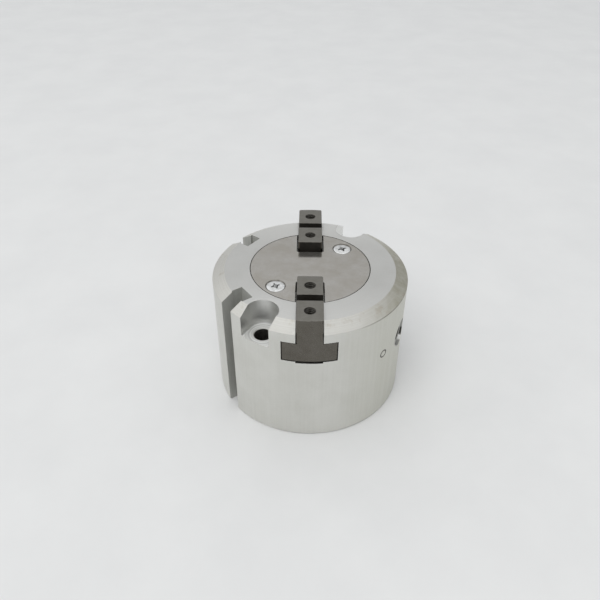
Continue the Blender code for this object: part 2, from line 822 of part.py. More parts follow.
def make_split_ring(name, finish_name, inner, outer, low, high, gap, angle):
    """A flat band with a narrow gap, such as a wear ring or a bent magnet strip."""
    profile = [(outer, high), (outer, low), (inner, low), (inner, high)]
    obj = turned(f"{name}_blank", profile, RING_STEPS)
    cutter = box(
        f"{name}_gap",
        (inner - OVERCUT, -gap / 2, low - OVERCUT),
        (outer + OVERCUT, gap / 2, high + OVERCUT),
    )
    cutter.rotation_euler.z = math.radians(angle)
    return finish(boolean(obj, cutter), name, finish_name, (0, 0, low))


def make_lip_seal(name, inner, outer, low, high, steps=RING_STEPS):
    """A U-section seal: two lips with a groove between them on the pressure side, below."""
    web = (high - low) * 0.45
    wall = (outer - inner) * 0.3
    slant = (outer - inner) * 0.08
    profile = [
        (outer - slant, high),
        (outer, low),
        (outer - wall, low),
        (outer - wall, high - web),
        (inner + wall, high - web),
        (inner + wall, low),
        (inner, low),
        (inner + slant, high),
    ]
    return finish(turned(f"{name}_blank", profile, steps), name, "black_rubber", (0, 0, low))


def make_piston_seals():
    """The seal, the magnet strip and the wear ring, each in its own groove."""
    clear, magnet_sink = 0.07 * MM, 0.3 * MM
    magnet_gap, magnet_angle = 0.6 * MM, 200.0
    wear_gap, wear_angle = 1.2 * MM, 80.0
    inner, low, high = SEAL_GROOVE
    outer = CYLINDER_RADIUS - clear
    make_lip_seal("piston_seal", inner + clear, outer, low + SEAT_GAP, high - SEAT_GAP)
    inner, low, high = MAGNET_GROOVE
    make_split_ring(
        "magnet_ring",
        "magnet_rubber",
        inner + SEAT_GAP,
        PISTON_RADIUS - magnet_sink,
        low + SEAT_GAP,
        high - SEAT_GAP,
        magnet_gap,
        magnet_angle,
    )
    inner, low, high = WEAR_GROOVE
    make_split_ring(
        "wear_ring",
        "wear_resin",
        inner + clear,
        outer,
        low + clear,
        high - clear,
        wear_gap,
        wear_angle,
    )


def make_bumpers():
    """A cushion ring let into each face of the piston."""
    inner, outer, corner = BUMPER_INNER_RADIUS, BUMPER_OUTER_RADIUS, 0.3 * MM
    reach = BUMPER_PROUD + BUMPER_DEPTH - SEAT_GAP
    front_low = PISTON_HIGH - BUMPER_DEPTH + SEAT_GAP
    rear_high = PISTON_LOW + BUMPER_DEPTH - SEAT_GAP
    make_ring("front_bumper", "urethane", inner, outer, front_low, front_low + reach, corner)
    make_ring("rear_bumper", "urethane", inner, outer, rear_high - reach, rear_high, corner)


def make_rod_seals():
    """The rod's lip seal and the small ring under the bolt's head."""
    clear, corner = 0.08 * MM, 0.45 * MM
    make_lip_seal(
        "rod_seal",
        ROD_RADIUS + clear,
        ROD_SEAL_GROOVE_RADIUS - clear,
        ROD_SEAL_GROOVE_LOW + SEAT_GAP,
        ROD_SEAL_GROOVE_HIGH - SEAT_GAP,
        steps=48,
    )
    make_ring(
        "bolt_seal",
        "black_rubber",
        BOLT_SHANK_RADIUS + clear,
        BOLT_SEAL_RADIUS,
        BOLT_SEAL_LOW,
        BOLT_SEAL_HIGH,
        corner,
        steps=32,
    )


# Rear end -----------------------------------------------------------------------------------

END_PLATE_RADIUS = SEAT_RADIUS - SEAT_GAP
END_PLATE_LOW = RING_GROOVE_HIGH + SEAT_GAP
END_PLATE_HIGH = CYLINDER_LOW - SEAT_GAP
END_SEAL_GROOVE = (18.9 * MM, 4.8 * MM, 6.8 * MM)


def make_end_plate():
    edge = 0.3 * MM
    dish_radius, dish_depth = 7.0 * MM, 1.0 * MM
    profile = [
        (0.0, END_PLATE_HIGH),
        (END_PLATE_RADIUS - edge, END_PLATE_HIGH),
        (END_PLATE_RADIUS, END_PLATE_HIGH - edge),
        *groove(*END_SEAL_GROOVE, END_PLATE_RADIUS),
        (END_PLATE_RADIUS, END_PLATE_LOW + edge),
        (END_PLATE_RADIUS - edge, END_PLATE_LOW),
        (dish_radius, END_PLATE_LOW),
        (dish_radius - dish_depth, END_PLATE_LOW + dish_depth),
        (0.0, END_PLATE_LOW + dish_depth),
    ]
    finish(
        turned("end_plate_blank", profile, RING_STEPS),
        "end_plate",
        "anodised_aluminium",
        (0, 0, END_PLATE_LOW),
    )
    inner, low, high = END_SEAL_GROOVE
    clear, side_clear, corner = 0.08 * MM, 0.15 * MM, 0.6 * MM
    make_ring(
        "end_plate_o_ring",
        "black_rubber",
        inner + clear,
        SEAT_RADIUS - clear,
        low + side_clear,
        high - side_clear,
        corner,
    )


def make_retaining_ring():
    """An internal snap ring: an eccentric band with an eyelet at each free end."""
    thickness = 1.2 * MM
    low = (RING_GROOVE_LOW + RING_GROOVE_HIGH - thickness) / 2
    outer = RING_GROOVE_RADIUS - SEAT_GAP
    free_end, eyelet_radius, eyelet_hole = 12.0, 1.9 * MM, 0.9 * MM
    mean_band, band_swing = 2.6 * MM, 1.0 * MM
    eyelet_circle = outer - 2.6 * MM
    steps = 56
    rim = arc(outer, free_end, 360 - free_end, steps)
    bore = []
    for i in range(steps, -1, -1):
        angle = free_end + (360 - 2 * free_end) * i / steps
        band = mean_band - band_swing * math.cos(math.radians(angle))
        bore.append(polar(outer - band, angle, 0.0)[:2])
    obj = prism("retaining_ring_blank", [rim + bore], low, low + thickness)
    for index, angle in enumerate((free_end, -free_end)):
        centre = polar(eyelet_circle, angle, 0.0)[:2]
        eyelet = cylinder(
            f"eyelet_{index}", eyelet_radius, low, low + thickness, centre, segments=32
        )
        boolean(obj, eyelet, "UNION")
    for index, angle in enumerate((free_end, -free_end)):
        centre = polar(eyelet_circle, angle, 0.0)[:2]
        hole = cylinder(
            f"eyelet_hole_{index}", eyelet_hole, low - OVERCUT, low + 2 * thickness, centre, 20
        )
        boolean(obj, hole)
    return finish(obj, "retaining_ring", "spring_steel", (0, 0, low))


def make_gripper():
    make_body()
    make_cover_plate()
    make_cover_screw("cover_screw_front", -1)
    make_cover_screw("cover_screw_back", 1)
    make_finger("finger_back", 0.0)
    make_finger("finger_front", math.pi)
    make_piston()
    make_cam()
    make_cam_bolt()
    make_cam_pin()
    make_piston_seals()
    make_bumpers()
    make_rod_seals()
    make_end_plate()
    make_retaining_ring()


make_gripper()
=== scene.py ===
"""Looks of a two-finger pneumatic gripper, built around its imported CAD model.

Sizes are in metres, in the CAD model's frame: the origin is the centre of the rear face, +Z points
to the fingers, and the fingers slide along Y.
"""

import math

import bmesh
import bpy
from mathutils import Matrix, Vector


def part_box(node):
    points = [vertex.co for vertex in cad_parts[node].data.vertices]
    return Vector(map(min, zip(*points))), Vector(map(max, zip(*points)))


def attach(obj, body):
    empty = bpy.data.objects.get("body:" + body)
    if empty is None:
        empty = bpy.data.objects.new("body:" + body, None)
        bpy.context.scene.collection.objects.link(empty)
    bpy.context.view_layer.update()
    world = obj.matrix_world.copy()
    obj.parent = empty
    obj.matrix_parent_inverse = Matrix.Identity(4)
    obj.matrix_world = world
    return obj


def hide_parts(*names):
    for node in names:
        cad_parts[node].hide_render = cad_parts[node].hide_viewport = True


MM = 0.001

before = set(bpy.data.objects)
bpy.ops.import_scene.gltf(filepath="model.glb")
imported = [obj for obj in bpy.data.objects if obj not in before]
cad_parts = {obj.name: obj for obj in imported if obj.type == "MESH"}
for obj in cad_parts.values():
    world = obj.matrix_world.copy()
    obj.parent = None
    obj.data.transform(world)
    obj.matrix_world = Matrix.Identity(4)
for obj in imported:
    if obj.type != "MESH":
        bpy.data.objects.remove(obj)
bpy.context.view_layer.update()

# Body, from the frame and the CAD design
BODY_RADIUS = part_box("body")[1].x
BODY_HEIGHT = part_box("body")[1].z
TOP_CHAMFER_WIDTH = 3.9 * MM
TOP_CHAMFER_HEIGHT = 2.3 * MM
REAR_CHAMFER = 0.5 * MM
SEAT_RADIUS = 20.5 * MM
RING_GROOVE_RADIUS = 21.6 * MM
RING_GROOVE = (1.5 * MM, 2.9 * MM)
CYLINDER_RADIUS = 20.0 * MM
CYLINDER = (8.1 * MM, 25.5 * MM)
ROD_BORE_RADIUS = 6.15 * MM
ROD_SEAL_GROOVE_RADIUS = 8.2 * MM
ROD_SEAL_GROOVE = (26.2 * MM, 28.0 * MM)
CAM_CHAMBER_RADIUS = 11.9 * MM
CAM_CHAMBER_LOW = 28.5 * MM
COVER_SEAT_RADIUS = 19.1 * MM
COVER_SEAT_HEIGHT = 42.0 * MM
ROUND_STEPS = 192
CURVE_STEPS = 6
BODY_FINISHES = ("anodised", "machined", "honed", "shaded_wall", "engraved")
BODY_FINISHES += ("groove", "turned", "pocket", "floor", "port")

# T-slot and fingers
STEM_SLOT_WIDTH = 8.1 * MM
STEM_SLOT_LOW = 31.0 * MM
T_SLOT_WIDTH = 16.6 * MM
T_SLOT = (31.5 * MM, 38.6 * MM)
SLOT_MIDDLE = 1.0 * MM
SLIDE_GAP = 0.15 * MM
T_SHRINK = 0.1 * MM
FINGER_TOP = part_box("finger_back")[1].z
FINGER_OUTER_RADIUS = 30.85 * MM
FINGER_INNER = 9.55 * MM
KEYWAY_CENTRE = 20.15 * MM
KEYWAY_SIZE = 2.8 * MM
FINGER_HOLE_PITCH = 12.1 * MM
FINGER_HOLE_DEPTH = 8.5 * MM
FINGER_HOLE_MOUTH = 0.12 * MM
FINGER_HOLE_MOUTH_RADIUS = 1.78 * MM
FINGER_END_STEPS = 288
WEDGE_SLOPE = 0.8
WEDGE_HEIGHT = 28.8 * MM
HOOK_CENTRE = 9.0 * MM
HOOK_HEAD = (6.0 * MM, 2.0 * MM)
HOOK_NECK_WIDTH = 3.2 * MM
FINGER_FACE = 11.65 * MM

# Threads: (radius at the crest of the hole, radius at the root, pitch), and their shape
M5_THREAD = (2.1 * MM, 2.5 * MM, 0.8 * MM)
M4_THREAD = (1.65 * MM, 2.0 * MM, 0.7 * MM)
M3_THREAD = (1.22 * MM, 1.45 * MM, 0.5 * MM)
THREAD_SEGMENTS = 40
THREAD_ROWS = 8
THREAD_SLOPE, THREAD_FLAT = 2.4, 0.7
THREAD_TIP = 0.6

# Sensor grooves, mounting holes and ports
GROOVE_ANGLES = (-143.7, 143.7)
GROOVE_MOUTH_WIDTH = 5.2 * MM
GROOVE_CHAMBER_WIDTH = 6.2 * MM
GROOVE_FLOOR_DISTANCE = 23.4 * MM
GROOVE_LIP_DISTANCE = 27.0 * MM
MOUNT_ANGLES = (-121.5, 58.5)
MOUNT_CIRCLE_RADIUS = 26.5 * MM
MOUNT_HOLE_RADIUS = 2.65 * MM
COUNTERBORE_RADIUS = 4.95 * MM
COUNTERBORE_FLOOR = 35.0 * MM
COUNTERBORE_FILLET = 0.7 * MM
MOUNT_HOLE_CHAMFER = 0.3 * MM
DOWEL_ANGLES = (121.5, -58.5)
DOWEL_RADIUS = 2.0 * MM
DOWEL_DEPTH = 4.5 * MM
PORTS = ((-21.0, 26.6 * MM, 23.6 * MM), (21.0, 11.0 * MM, 9.0 * MM))
PORT_SPOTFACE_RADIUS = 4.7 * MM
PORT_MOUTH_RADIUS = 2.75 * MM
PORT_SPOTFACE_DISTANCE = 30.1 * MM
PORT_HOLE_END = 24.5 * MM
PORT_PASSAGE_RADIUS = 1.0 * MM
MARK_ANGLE = -42.7
MARK_HEIGHT = 26.3 * MM
MARK_RADIUS = 1.25 * MM
MARK_LINE = 0.24 * MM
MARK_SINK = 0.05 * MM

# Cover plate and its screws. The recess's pit and wings get narrower with depth.
COVER_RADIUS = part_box("cover_plate")[1].x
COVER_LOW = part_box("cover_plate")[0].z
COVER_SLOT_WIDTH = 8.8 * MM
COVER_SLOT_END = 8.3 * MM
COVER_SLOT_CORNER = 0.7 * MM
SCREW_OFFSET = 10.5 * MM
SCREW_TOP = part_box("cover_screw_front")[1].z
SCREW_LENGTH = 8.0 * MM
SCREW_HEAD_RADIUS = 2.8 * MM
SCREW_HEAD_HEIGHT = 1.45 * MM
SCREW_DOME = 0.12 * MM
SCREW_DOME_RADIUS = 2.688 * MM
SCREW_EDGE = 0.06 * MM
SCREW_RIM = 0.22 * MM
SCREW_NECK_RADIUS = 1.51 * MM
SCREW_NECK_LENGTH = 0.5 * MM
SHANK_START = 0.3 * MM
SCREW_HOLE_RADIUS = 1.6 * MM
RECESS_ANGLES = (25, 115)
RECESS_WIDTH = 3.3 * MM
RECESS_THICKNESS = 0.62 * MM
RECESS_DEPTH = 1.45 * MM
RECESS_OVERCUT = 0.4 * MM
RECESS_PIT_RADII = (0.25 * MM, 1.05 * MM)
RECESS_TAPER = (0.35, 0.7)
COUNTERSINK_RADIUS = 3.15 * MM
COUNTERSINK_OVERLAP = 0.1 * MM
COVER_EDGE = 0.08 * MM

# Rear end
END_PLATE_EDGE = 0.3 * MM
END_SEAL_GROOVE_RADIUS = 18.9 * MM
END_SEAL_GROOVE = (4.8 * MM, 6.8 * MM)
DISH_RADIUS = 7.0 * MM
DISH_DEPTH = 1.0 * MM
SNAP_RING_END = 12.0
SNAP_RING_BAND = 2.6 * MM
SNAP_RING_SWING = 1.0 * MM
SNAP_RING_STEPS = 168
EYELET_INSET = 2.6 * MM
EYELET_RADIUS = 1.9 * MM
EYELET_HOLE_RADIUS = 0.9 * MM

# Making: cutters' surplus, bevels, angles of sharp edges, how near a face has to be to a surface,
# and how far up a face has to look
OVERCUT = 1.0 * MM
EDGE_BREAK = 0.07 * MM
FINGER_EDGE = 0.12 * MM
FINGER_CORNER = 0.55 * MM
BEVELLED_ANGLE = math.radians(35.0)
SMOOTH_ANGLE = math.radians(30.0)
WELD_DISTANCE = 0.001 * MM
NEAR = 0.02 * MM
EDGE_ZONE = 0.05 * MM
STEEP = 0.3
TILTED = (0.6, 0.97)
NEARLY_LEVEL = 0.9
LEVEL = 0.99

# Camera: place, aim, turn about its own axis, and lens
CAMERA_PLACE = (-1.05 * MM, -161.87 * MM, 155.66 * MM)
CAMERA_AIM = (-3.16 * MM, -0.04 * MM, 30.48 * MM)
CAMERA_ROLL = 0.256
CAMERA_LENS = 37.13
SENSOR_WIDTH = 36.0
CLIP_START = 10 * MM

# Light and floor
LIGHT_PLACE = (-0.35, -0.9, 1.6)
LIGHT_SIZE = 1.6
LIGHT_POWER = 13.0
LIGHT_COLOUR = (1.0, 0.99, 0.97)
SKY_COLOUR = (0.97, 0.985, 1.0, 1.0)
SKY_DIRECTION = (-0.25, 0.0, 1.0)
SKY_RANGE = (0.35, 1.0)
FLOOR_REACH = 3.0
FLOOR_DROP = 0.05 * MM


# Mesh tools ------------


def place(name, data):
    obj = bpy.data.objects.new(name, data)
    bpy.context.scene.collection.objects.link(obj)
    return obj


def from_bmesh(name, bm):
    mesh = bpy.data.meshes.new(name)
    bm.to_mesh(mesh)
    bm.free()
    return place(name, mesh)


def baked(obj):
    """obj as a plain mesh with its modifiers and its place applied."""
    bpy.context.view_layer.update()
    graph = bpy.context.evaluated_depsgraph_get()
    mesh = bpy.data.meshes.new_from_object(obj.evaluated_get(graph))
    mesh.transform(obj.matrix_world)
    name = obj.name
    bpy.data.objects.remove(obj, do_unlink=True)
    bm = bmesh.new()
    bm.from_mesh(mesh)
    bmesh.ops.remove_doubles(bm, verts=bm.verts, dist=0.0005 * MM)
    loose = [edge for edge in bm.edges if not edge.link_faces]
    bmesh.ops.delete(bm, geom=loose, context="EDGES")
    bpy.data.meshes.remove(mesh)
    return from_bmesh(name, bm)


def cylinder(name, radius, low, high, centre=(0.0, 0.0), segments=64, top_radius=None):
    bm = bmesh.new()
    top_radius = radius if top_radius is None else top_radius
    bmesh.ops.create_cone(
        bm, cap_ends=True, segments=segments, radius1=radius, radius2=top_radius, depth=high - low
    )
    bmesh.ops.translate(bm, vec=(*centre, (low + high) / 2), verts=bm.verts)
    return from_bmesh(name, bm)


def box(name, low, high):
    bm = bmesh.new()
    bmesh.ops.create_cube(bm, size=1.0)
    bmesh.ops.scale(bm, vec=Vector(high) - Vector(low), verts=bm.verts)
    bmesh.ops.translate(bm, vec=(Vector(low) + Vector(high)) / 2, verts=bm.verts)
    return from_bmesh(name, bm)


def turned(name, profile, steps=ROUND_STEPS):
    """A closed (radius, height) profile turned round Z. It runs down its outer side."""
    mesh = bpy.data.meshes.new(name)
    count = len(profile)
    edges = [(i, (i + 1) % count) for i in range(count)]
    mesh.from_pydata([(radius, 0.0, height) for radius, height in profile], edges, [])
    obj = place(name, mesh)
    screw = obj.modifiers.new("turn", "SCREW")
    screw.angle = math.tau
    screw.steps = steps
    screw.render_steps = steps
    screw.use_merge_vertices = True
    screw.merge_threshold = 0.00001
    return baked(obj)


def prism(name, outline, low, high):
    curve = bpy.data.curves.new(name, "CURVE")
    curve.dimensions = "2D"
    curve.fill_mode = "BOTH"
    curve.extrude = (high - low) / 2
    spline = curve.splines.new("POLY")
    spline.points.add(len(outline) - 1)
    for point, (x, y) in zip(spline.points, outline):
        point.co = (x, y, 0.0, 1.0)
    spline.use_cyclic_u = True
    obj = place(name, curve)
    obj.location.z = (low + high) / 2
    return baked(obj)


def lofted(name, rows):
    """A closed shape through rows of equally many points, each (points, height), lowest first."""
    bm = bmesh.new()
    rings = [[bm.verts.new((x, y, height)) for x, y in points] for points, height in rows]
    count = len(rings[0])
    for lower, upper in zip(rings, rings[1:]):
        for i in range(count):
            j = (i + 1) % count
            bm.faces.new((lower[i], lower[j], upper[j], upper[i]))
    bm.faces.new(reversed(rings[0]))
    bm.faces.new(rings[-1])
    bmesh.ops.recalc_face_normals(bm, faces=bm.faces)
    return from_bmesh(name, bm)


def arc(radius, start, end, count, centre=(0.0, 0.0)):
    """Points on an arc, in degrees, both ends included."""
    turns = [math.radians(start + (end - start) * i / count) for i in range(count + 1)]
    return [(centre[0] + radius * math.cos(t), centre[1] + radius * math.sin(t)) for t in turns]


def polar(radius, degrees, height=0.0):
    angle = math.radians(degrees)
    return Vector((radius * math.cos(angle), radius * math.sin(angle), height))


def moved(obj, x, y, z):
    obj.data.transform(Matrix.Translation((x, y, z)))
    return obj


def turn(obj, degrees):
    obj.data.transform(Matrix.Rotation(math.radians(degrees), 4, "Z"))
    return obj


def aim(obj, start, end):
    """Turns an upright shape drawn from the origin so that it starts at start and points to end."""
    direction = (Vector(end) - Vector(start)).to_track_quat("Z", "Y").to_matrix().to_4x4()
    obj.data.transform(Matrix.Translation(start) @ direction)
    return obj


def cut(obj, cutters, operation="DIFFERENCE"):
    """obj with every cutter taken away, joined, or kept in common, as a plain mesh."""
    for cutter in cutters:
        modifier = obj.modifiers.new(cutter.name, "BOOLEAN")
        modifier.operation = operation
        modifier.solver = "EXACT"
        modifier.object = cutter
    made = baked(obj)
    for cutter in cutters:
        bpy.data.objects.remove(cutter, do_unlink=True)
    return made


def break_edges(obj, width, keep=None):
    """Gives the sharp edges a small rounded bevel, in material slot 1. keep(edge) leaves one sharp."""
    bm = bmesh.new()
    bm.from_mesh(obj.data)
    bmesh.ops.remove_doubles(bm, verts=bm.verts, dist=0.01 * MM)
    bmesh.ops.dissolve_degenerate(bm, edges=bm.edges, dist=0.002 * MM)
    sharp = [
        edge
        for edge in bm.edges
        if len(edge.link_faces) == 2
        and edge.calc_face_angle() > BEVELLED_ANGLE
        and not (keep and keep(edge))
    ]
    shape = {"segments": 2, "profile": 0.5, "affect": "EDGES", "clamp_overlap": False}
    bmesh.ops.bevel(bm, geom=sharp, offset=width, material=1, **shape)
    bmesh.ops.triangulate(bm, faces=[face for face in bm.faces if len(face.verts) > 4])
    bm.to_mesh(obj.data)
    bm.free()
    return obj


def threaded_rod(thread, length, mouth=None):
    """An upright threaded shape, down from the origin: a bolt's shank or, with a mouth, a cutter.

    mouth is the radius of a 45 degree countersink at the top of a tapped hole.
    """
    inner, outer, pitch = thread
    step = pitch / THREAD_ROWS
    heights = [OVERCUT] if mouth else []
    heights += [-i * step for i in range(int(length / step) + 1)]
    bm = bmesh.new()
    rings = []
    for height in heights:
        fade = min(1.0, (length + height) / (2 * pitch), -height / pitch) if mouth else 1.0
        ring = []
        for i in range(THREAD_SEGMENTS):
            phase = (height / pitch + i / THREAD_SEGMENTS) % 1.0
            tooth = min(1.0, max(0.0, THREAD_SLOPE * abs(2 * phase - 1) - THREAD_FLAT))
            radius = inner + (outer - inner) * tooth * fade
            if mouth:
                radius = max(radius, mouth + min(height, 0.0))
            angle = math.tau * i / THREAD_SEGMENTS
            ring.append(bm.verts.new((radius * math.cos(angle), radius * math.sin(angle), height)))
        rings.append(ring)
    for upper, lower in zip(rings, rings[1:]):
        for i in range(THREAD_SEGMENTS):
            j = (i + 1) % THREAD_SEGMENTS
            bm.faces.new((upper[i], lower[i], lower[j], upper[j]))
    bm.faces.new(rings[0])
    if mouth:
        tip = bm.verts.new((0.0, 0.0, heights[-1] - inner * THREAD_TIP))
        for i in range(THREAD_SEGMENTS):
            bm.faces.new((tip, rings[-1][(i + 1) % THREAD_SEGMENTS], rings[-1][i]))
    else:
        bm.faces.new(reversed(rings[-1]))
    bmesh.ops.recalc_face_normals(bm, faces=bm.faces)
    return from_bmesh("thread", bm)


def finish_piece(obj, name, nodes, finishes, finish_of=None, body="housing"):
    """Names a piece, gives each face the finish that finish_of names, and joins it to the frame."""
    obj.name = name
    obj.data.name = name
    for finish in finishes:
        obj.data.materials.append(MATERIALS[finish])
    bm = bmesh.new()
    bm.from_mesh(obj.data)
    for face in bm.faces:
        face.material_index = finishes.index(finish_of(face)) if finish_of else 0
    bm.to_mesh(obj.data)
    bm.free()
    obj.data.shade_smooth()
    obj.data.set_sharp_from_angle(angle=SMOOTH_ANGLE)
    obj.modifiers.new("face_weighted_normals", "WEIGHTED_NORMAL").keep_sharp = True
    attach(obj, body)
    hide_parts(*nodes)


# Material tools ------------


NUMBER_MATH = "ShaderNodeMath"
VECTOR_MATH = "ShaderNodeVectorMath"
X, Z = (1, 0, 0), (0, 0, 1)


class Graph:
    """A Principled material and short calls for its nodes. Coordinates are in millimetres."""

    def __init__(self, name, colour, roughness, metallic=0.0):
        self.material = bpy.data.materials.new(name)
        self.material.use_nodes = True
        self.tree = self.material.node_tree
        self.shader = self.tree.nodes["Principled BSDF"]
        self.set("Base Color", (*colour, 1.0))
        self.set("Roughness", roughness)
        self.set("Metallic", metallic)
        place_at = self.add("ShaderNodeTexCoord").outputs["Object"]
        self.place = self.scaled(place_at, (1 / MM,) * 3)

    def add(self, kind, **settings):
        node = self.tree.nodes.new(kind)
        for key, value in settings.items():
            setattr(node, key, value)
        return node

    def feed(self, socket, value):
        """Links another node's output to a socket, or sets the socket to a value."""
        if isinstance(value, bpy.types.NodeSocket):
            self.tree.links.new(value, socket)
        else:
            socket.default_value = value

    def set(self, name, value):
        self.feed(self.shader.inputs[name], value)

    def compute(self, kind, operation, *values):
        """The outputs of a math node. Each value is a number, a vector or another node's output."""
        node = self.add(kind, operation=operation)
        for socket, value in zip(node.inputs, values):
            self.feed(socket, value)
        return node.outputs

    def scaled(self, source, scale):
        return self.compute(VECTOR_MATH, "MULTIPLY", source, scale)[0]

    def distance(self, axes=(1, 1, 0)):
        """Distance from the origin, counting only the given axes: unless told otherwise, X and Y."""
        return self.compute(VECTOR_MATH, "LENGTH", self.scaled(self.place, axes))["Value"]

    def along(self, direction):
        return self.compute(VECTOR_MATH, "DOT_PRODUCT", self.place, direction)["Value"]

    def off_hole(self, centre):
        """Distance from the nearer of two upright axes, one through centre and one opposite it."""
        side = self.compute(NUMBER_MATH, "SIGN", self.along(centre))[0]
        nearer = self.compute(VECTOR_MATH, "MULTIPLY", centre, side)[0]
        offset = self.compute(VECTOR_MATH, "SUBTRACT", self.scaled(self.place, (1, 1, 0)), nearer)[0]
        return self.compute(VECTOR_MATH, "LENGTH", offset)["Value"]

    def toward(self, direction, low, high):
        """0 to 1 across the object, between two distances along a direction."""
        return self.between(self.along(direction), at=(low, high))

    def times(self, first, second):
        return self.compute(NUMBER_MATH, "MULTIPLY", first, second)[0]

    def noise(self, scale, detail=4.0, stretch=(1, 1, 1), source=None):
        """Noise with scale cells for each millimetre."""
        node = self.add("ShaderNodeTexNoise")
        node.inputs["Scale"].default_value = scale
        node.inputs["Detail"].default_value = detail
        node.inputs["Roughness"].default_value = 0.6
        self.feed(node.inputs["Vector"], self.scaled(source or self.place, stretch))
        return node.outputs["Fac"]

    def rings(self, scale, detail=3.0):
        """Noise that changes only with the distance from the axis, as turning marks do."""
        node = self.add("ShaderNodeTexNoise", noise_dimensions="1D")
        node.inputs["Scale"].default_value = scale
        node.inputs["Detail"].default_value = detail
        self.feed(node.inputs["W"], self.distance())
        return node.outputs["Fac"]

    def between(self, source, low=0.0, high=1.0, at=(0.35, 0.65)):
        """source mapped so that at[0] gives low and at[1] gives high."""
        node = self.add("ShaderNodeMapRange")
        for socket, value in zip(node.inputs[1:5], (*at, low, high)):
            socket.default_value = value
        self.feed(node.inputs[0], source)
        return node.outputs[0]

    def mix(self, factor, first, second):
        """first where factor is 0 and second where it is 1. Each is a colour or an output."""
        node = self.add("ShaderNodeMix", data_type="RGBA")
        self.feed(node.inputs[0], factor)
        for socket, value in ((node.inputs[6], first), (node.inputs[7], second)):
            self.feed(socket, (*value, 1.0) if isinstance(value, tuple) else value)
        return node.outputs[2]

    def mottled(self, scale, detail, dark, light):
        """A colour that varies between dark and light in blotches."""
        return self.mix(self.between(self.noise(scale, detail)), dark, light)

    def colour(self, source):
        self.set("Base Color", source)

    def roughness(self, scale, low, high):
        self.set("Roughness", self.between(self.noise(scale), low, high))

    def turned_round(self, amount):
        """Makes reflections spread across the turning marks, as on a lathe-turned face."""
        self.set("Anisotropic", amount)
        self.set("Anisotropic Rotation", 0.25)
        tangent = self.add("ShaderNodeTangent", direction_type="RADIAL", axis="Z")
        self.set("Tangent", tangent.outputs[0])

    def bump(self, *heights):
        """Chains bumps, each (height output, depth in millimetres), and gives the finished material."""
        normal = None
        for height, depth in heights:
            node = self.add("ShaderNodeBump")
            node.inputs["Distance"].default_value = depth * MM
            self.feed(node.inputs["Height"], height)
            if normal:
                self.feed(node.inputs["Normal"], normal)
            normal = node.outputs["Normal"]
        self.set("Normal", normal)
        return self.material


def anodised_aluminium():
    """Clear anodised bar: satin grain, faint streaks, soft clouds, painted shade towards the right, and
    a thin dark band under the top chamfer.
    """
    g = Graph("anodised_aluminium", (0.6, 0.6, 0.58), 0.42, 0.85)
    cloud = g.between(g.noise(0.09))
    streak = g.between(g.noise(1.6, stretch=(1, 1, 0.02)), at=(0.3, 0.7))
    base = g.mix(cloud, (0.645, 0.642, 0.602), (0.700, 0.697, 0.662))
    # Painted shade: the side goes darker and a little olive towards the right (+X).
    base = g.mix(g.toward(X, 8.0, 30.0), base, (0.60, 0.598, 0.53))
    base = g.mix(g.between(streak, 0.0, 0.35, (0.0, 1.0)), base, (0.74, 0.738, 0.705))
    edge = (BODY_HEIGHT - TOP_CHAMFER_HEIGHT) / MM
    # A thin darker band just under the top chamfer, on the right side only.
    edge_band = g.times(g.toward(Z, edge - 0.55, edge - 0.15), g.toward(X, 13.0, 23.0))
    g.colour(g.mix(edge_band, base, (0.23, 0.22, 0.18)))
    g.roughness(3.0, 0.38, 0.50)
    return g.bump((g.noise(9.0, 2.0), 0.006), (g.noise(2.2, stretch=(1, 1, 0.03)), 0.004))


def turned_aluminium():
    """The anodised top ring, with the turning marks that show under the anodising, and a painted
    highlight towards its front and back.
    """
    g = Graph("turned_aluminium", (0.66, 0.66, 0.645), 0.38, 0.9)
    ring = g.rings(6.0)
    cloud = g.between(g.noise(0.12))
    base = g.mix(cloud, (0.625, 0.620, 0.595), (0.665, 0.660, 0.637))
    # Painted highlight: lighter towards the front and back (along Y), for the sheen of the turned face.
    base = g.mix(g.between(g.distance((0, 1, 0)), at=(10.0, 26.0)), base, (0.745, 0.738, 0.712))
    g.colour(g.mix(g.between(ring, 0.0, 0.3), base, (0.58, 0.575, 0.552)))
    g.roughness(2.0, 0.32, 0.44)
    g.turned_round(0.6)
    return g.bump((ring, 0.003), (g.noise(9.0, 2.0), 0.004))


def machined_aluminium():
    """Bright turned face with fine rings and a few faint brown stains."""
    g = Graph("machined_aluminium", (0.74, 0.72, 0.66), 0.4, 0.95)
    stain = g.between(g.noise(0.22, 6.0), 0.0, 0.7, (0.57, 0.74))
    ring = g.rings(5.0)
    base = g.mix(g.between(ring), (0.70, 0.685, 0.637), (0.775, 0.763, 0.718))
    tint = g.times(g.toward(X, 14.0, 27.0), g.between(g.noise(0.35), 0.5, 1.0))
    base = g.mix(tint, base, (0.50, 0.482, 0.39))
    g.colour(g.mix(stain, base, (0.50, 0.44, 0.35)))
    g.roughness(1.2, 0.34, 0.48)
    g.turned_round(0.5)
    return g.bump((ring, 0.006), (g.noise(7.0, 2.0), 0.003))


def honed_bore():
    """Smooth bore wall with cross-hatched honing."""
    g = Graph("honed_bore", (0.55, 0.55, 0.53), 0.3, 1.0)
    hatch = g.noise(3.0, stretch=(1, 1, 6))
    g.colour(g.mix(g.between(hatch), (0.46, 0.46, 0.44), (0.60, 0.60, 0.585)))
    g.roughness(2.0, 0.22, 0.36)
    return g.bump((hatch, 0.004))


def shaded_wall_aluminium():
    """Walls of holes, slots and gaps: rough, dull and painted near-black as painted shade."""
    g = Graph("shaded_wall_aluminium", (0.12, 0.115, 0.105), 0.6, 0.5)
    # Painted shade: near-black, for the dark holes and the gaps beside the fingers and the cover.
    g.colour(g.mottled(0.7, 5.0, (0.03, 0.028, 0.025), (0.08, 0.076, 0.068)))
    g.roughness(2.0, 0.5, 0.7)
    return g.bump((g.noise(5.0, stretch=(1, 1, 3)), 0.008))


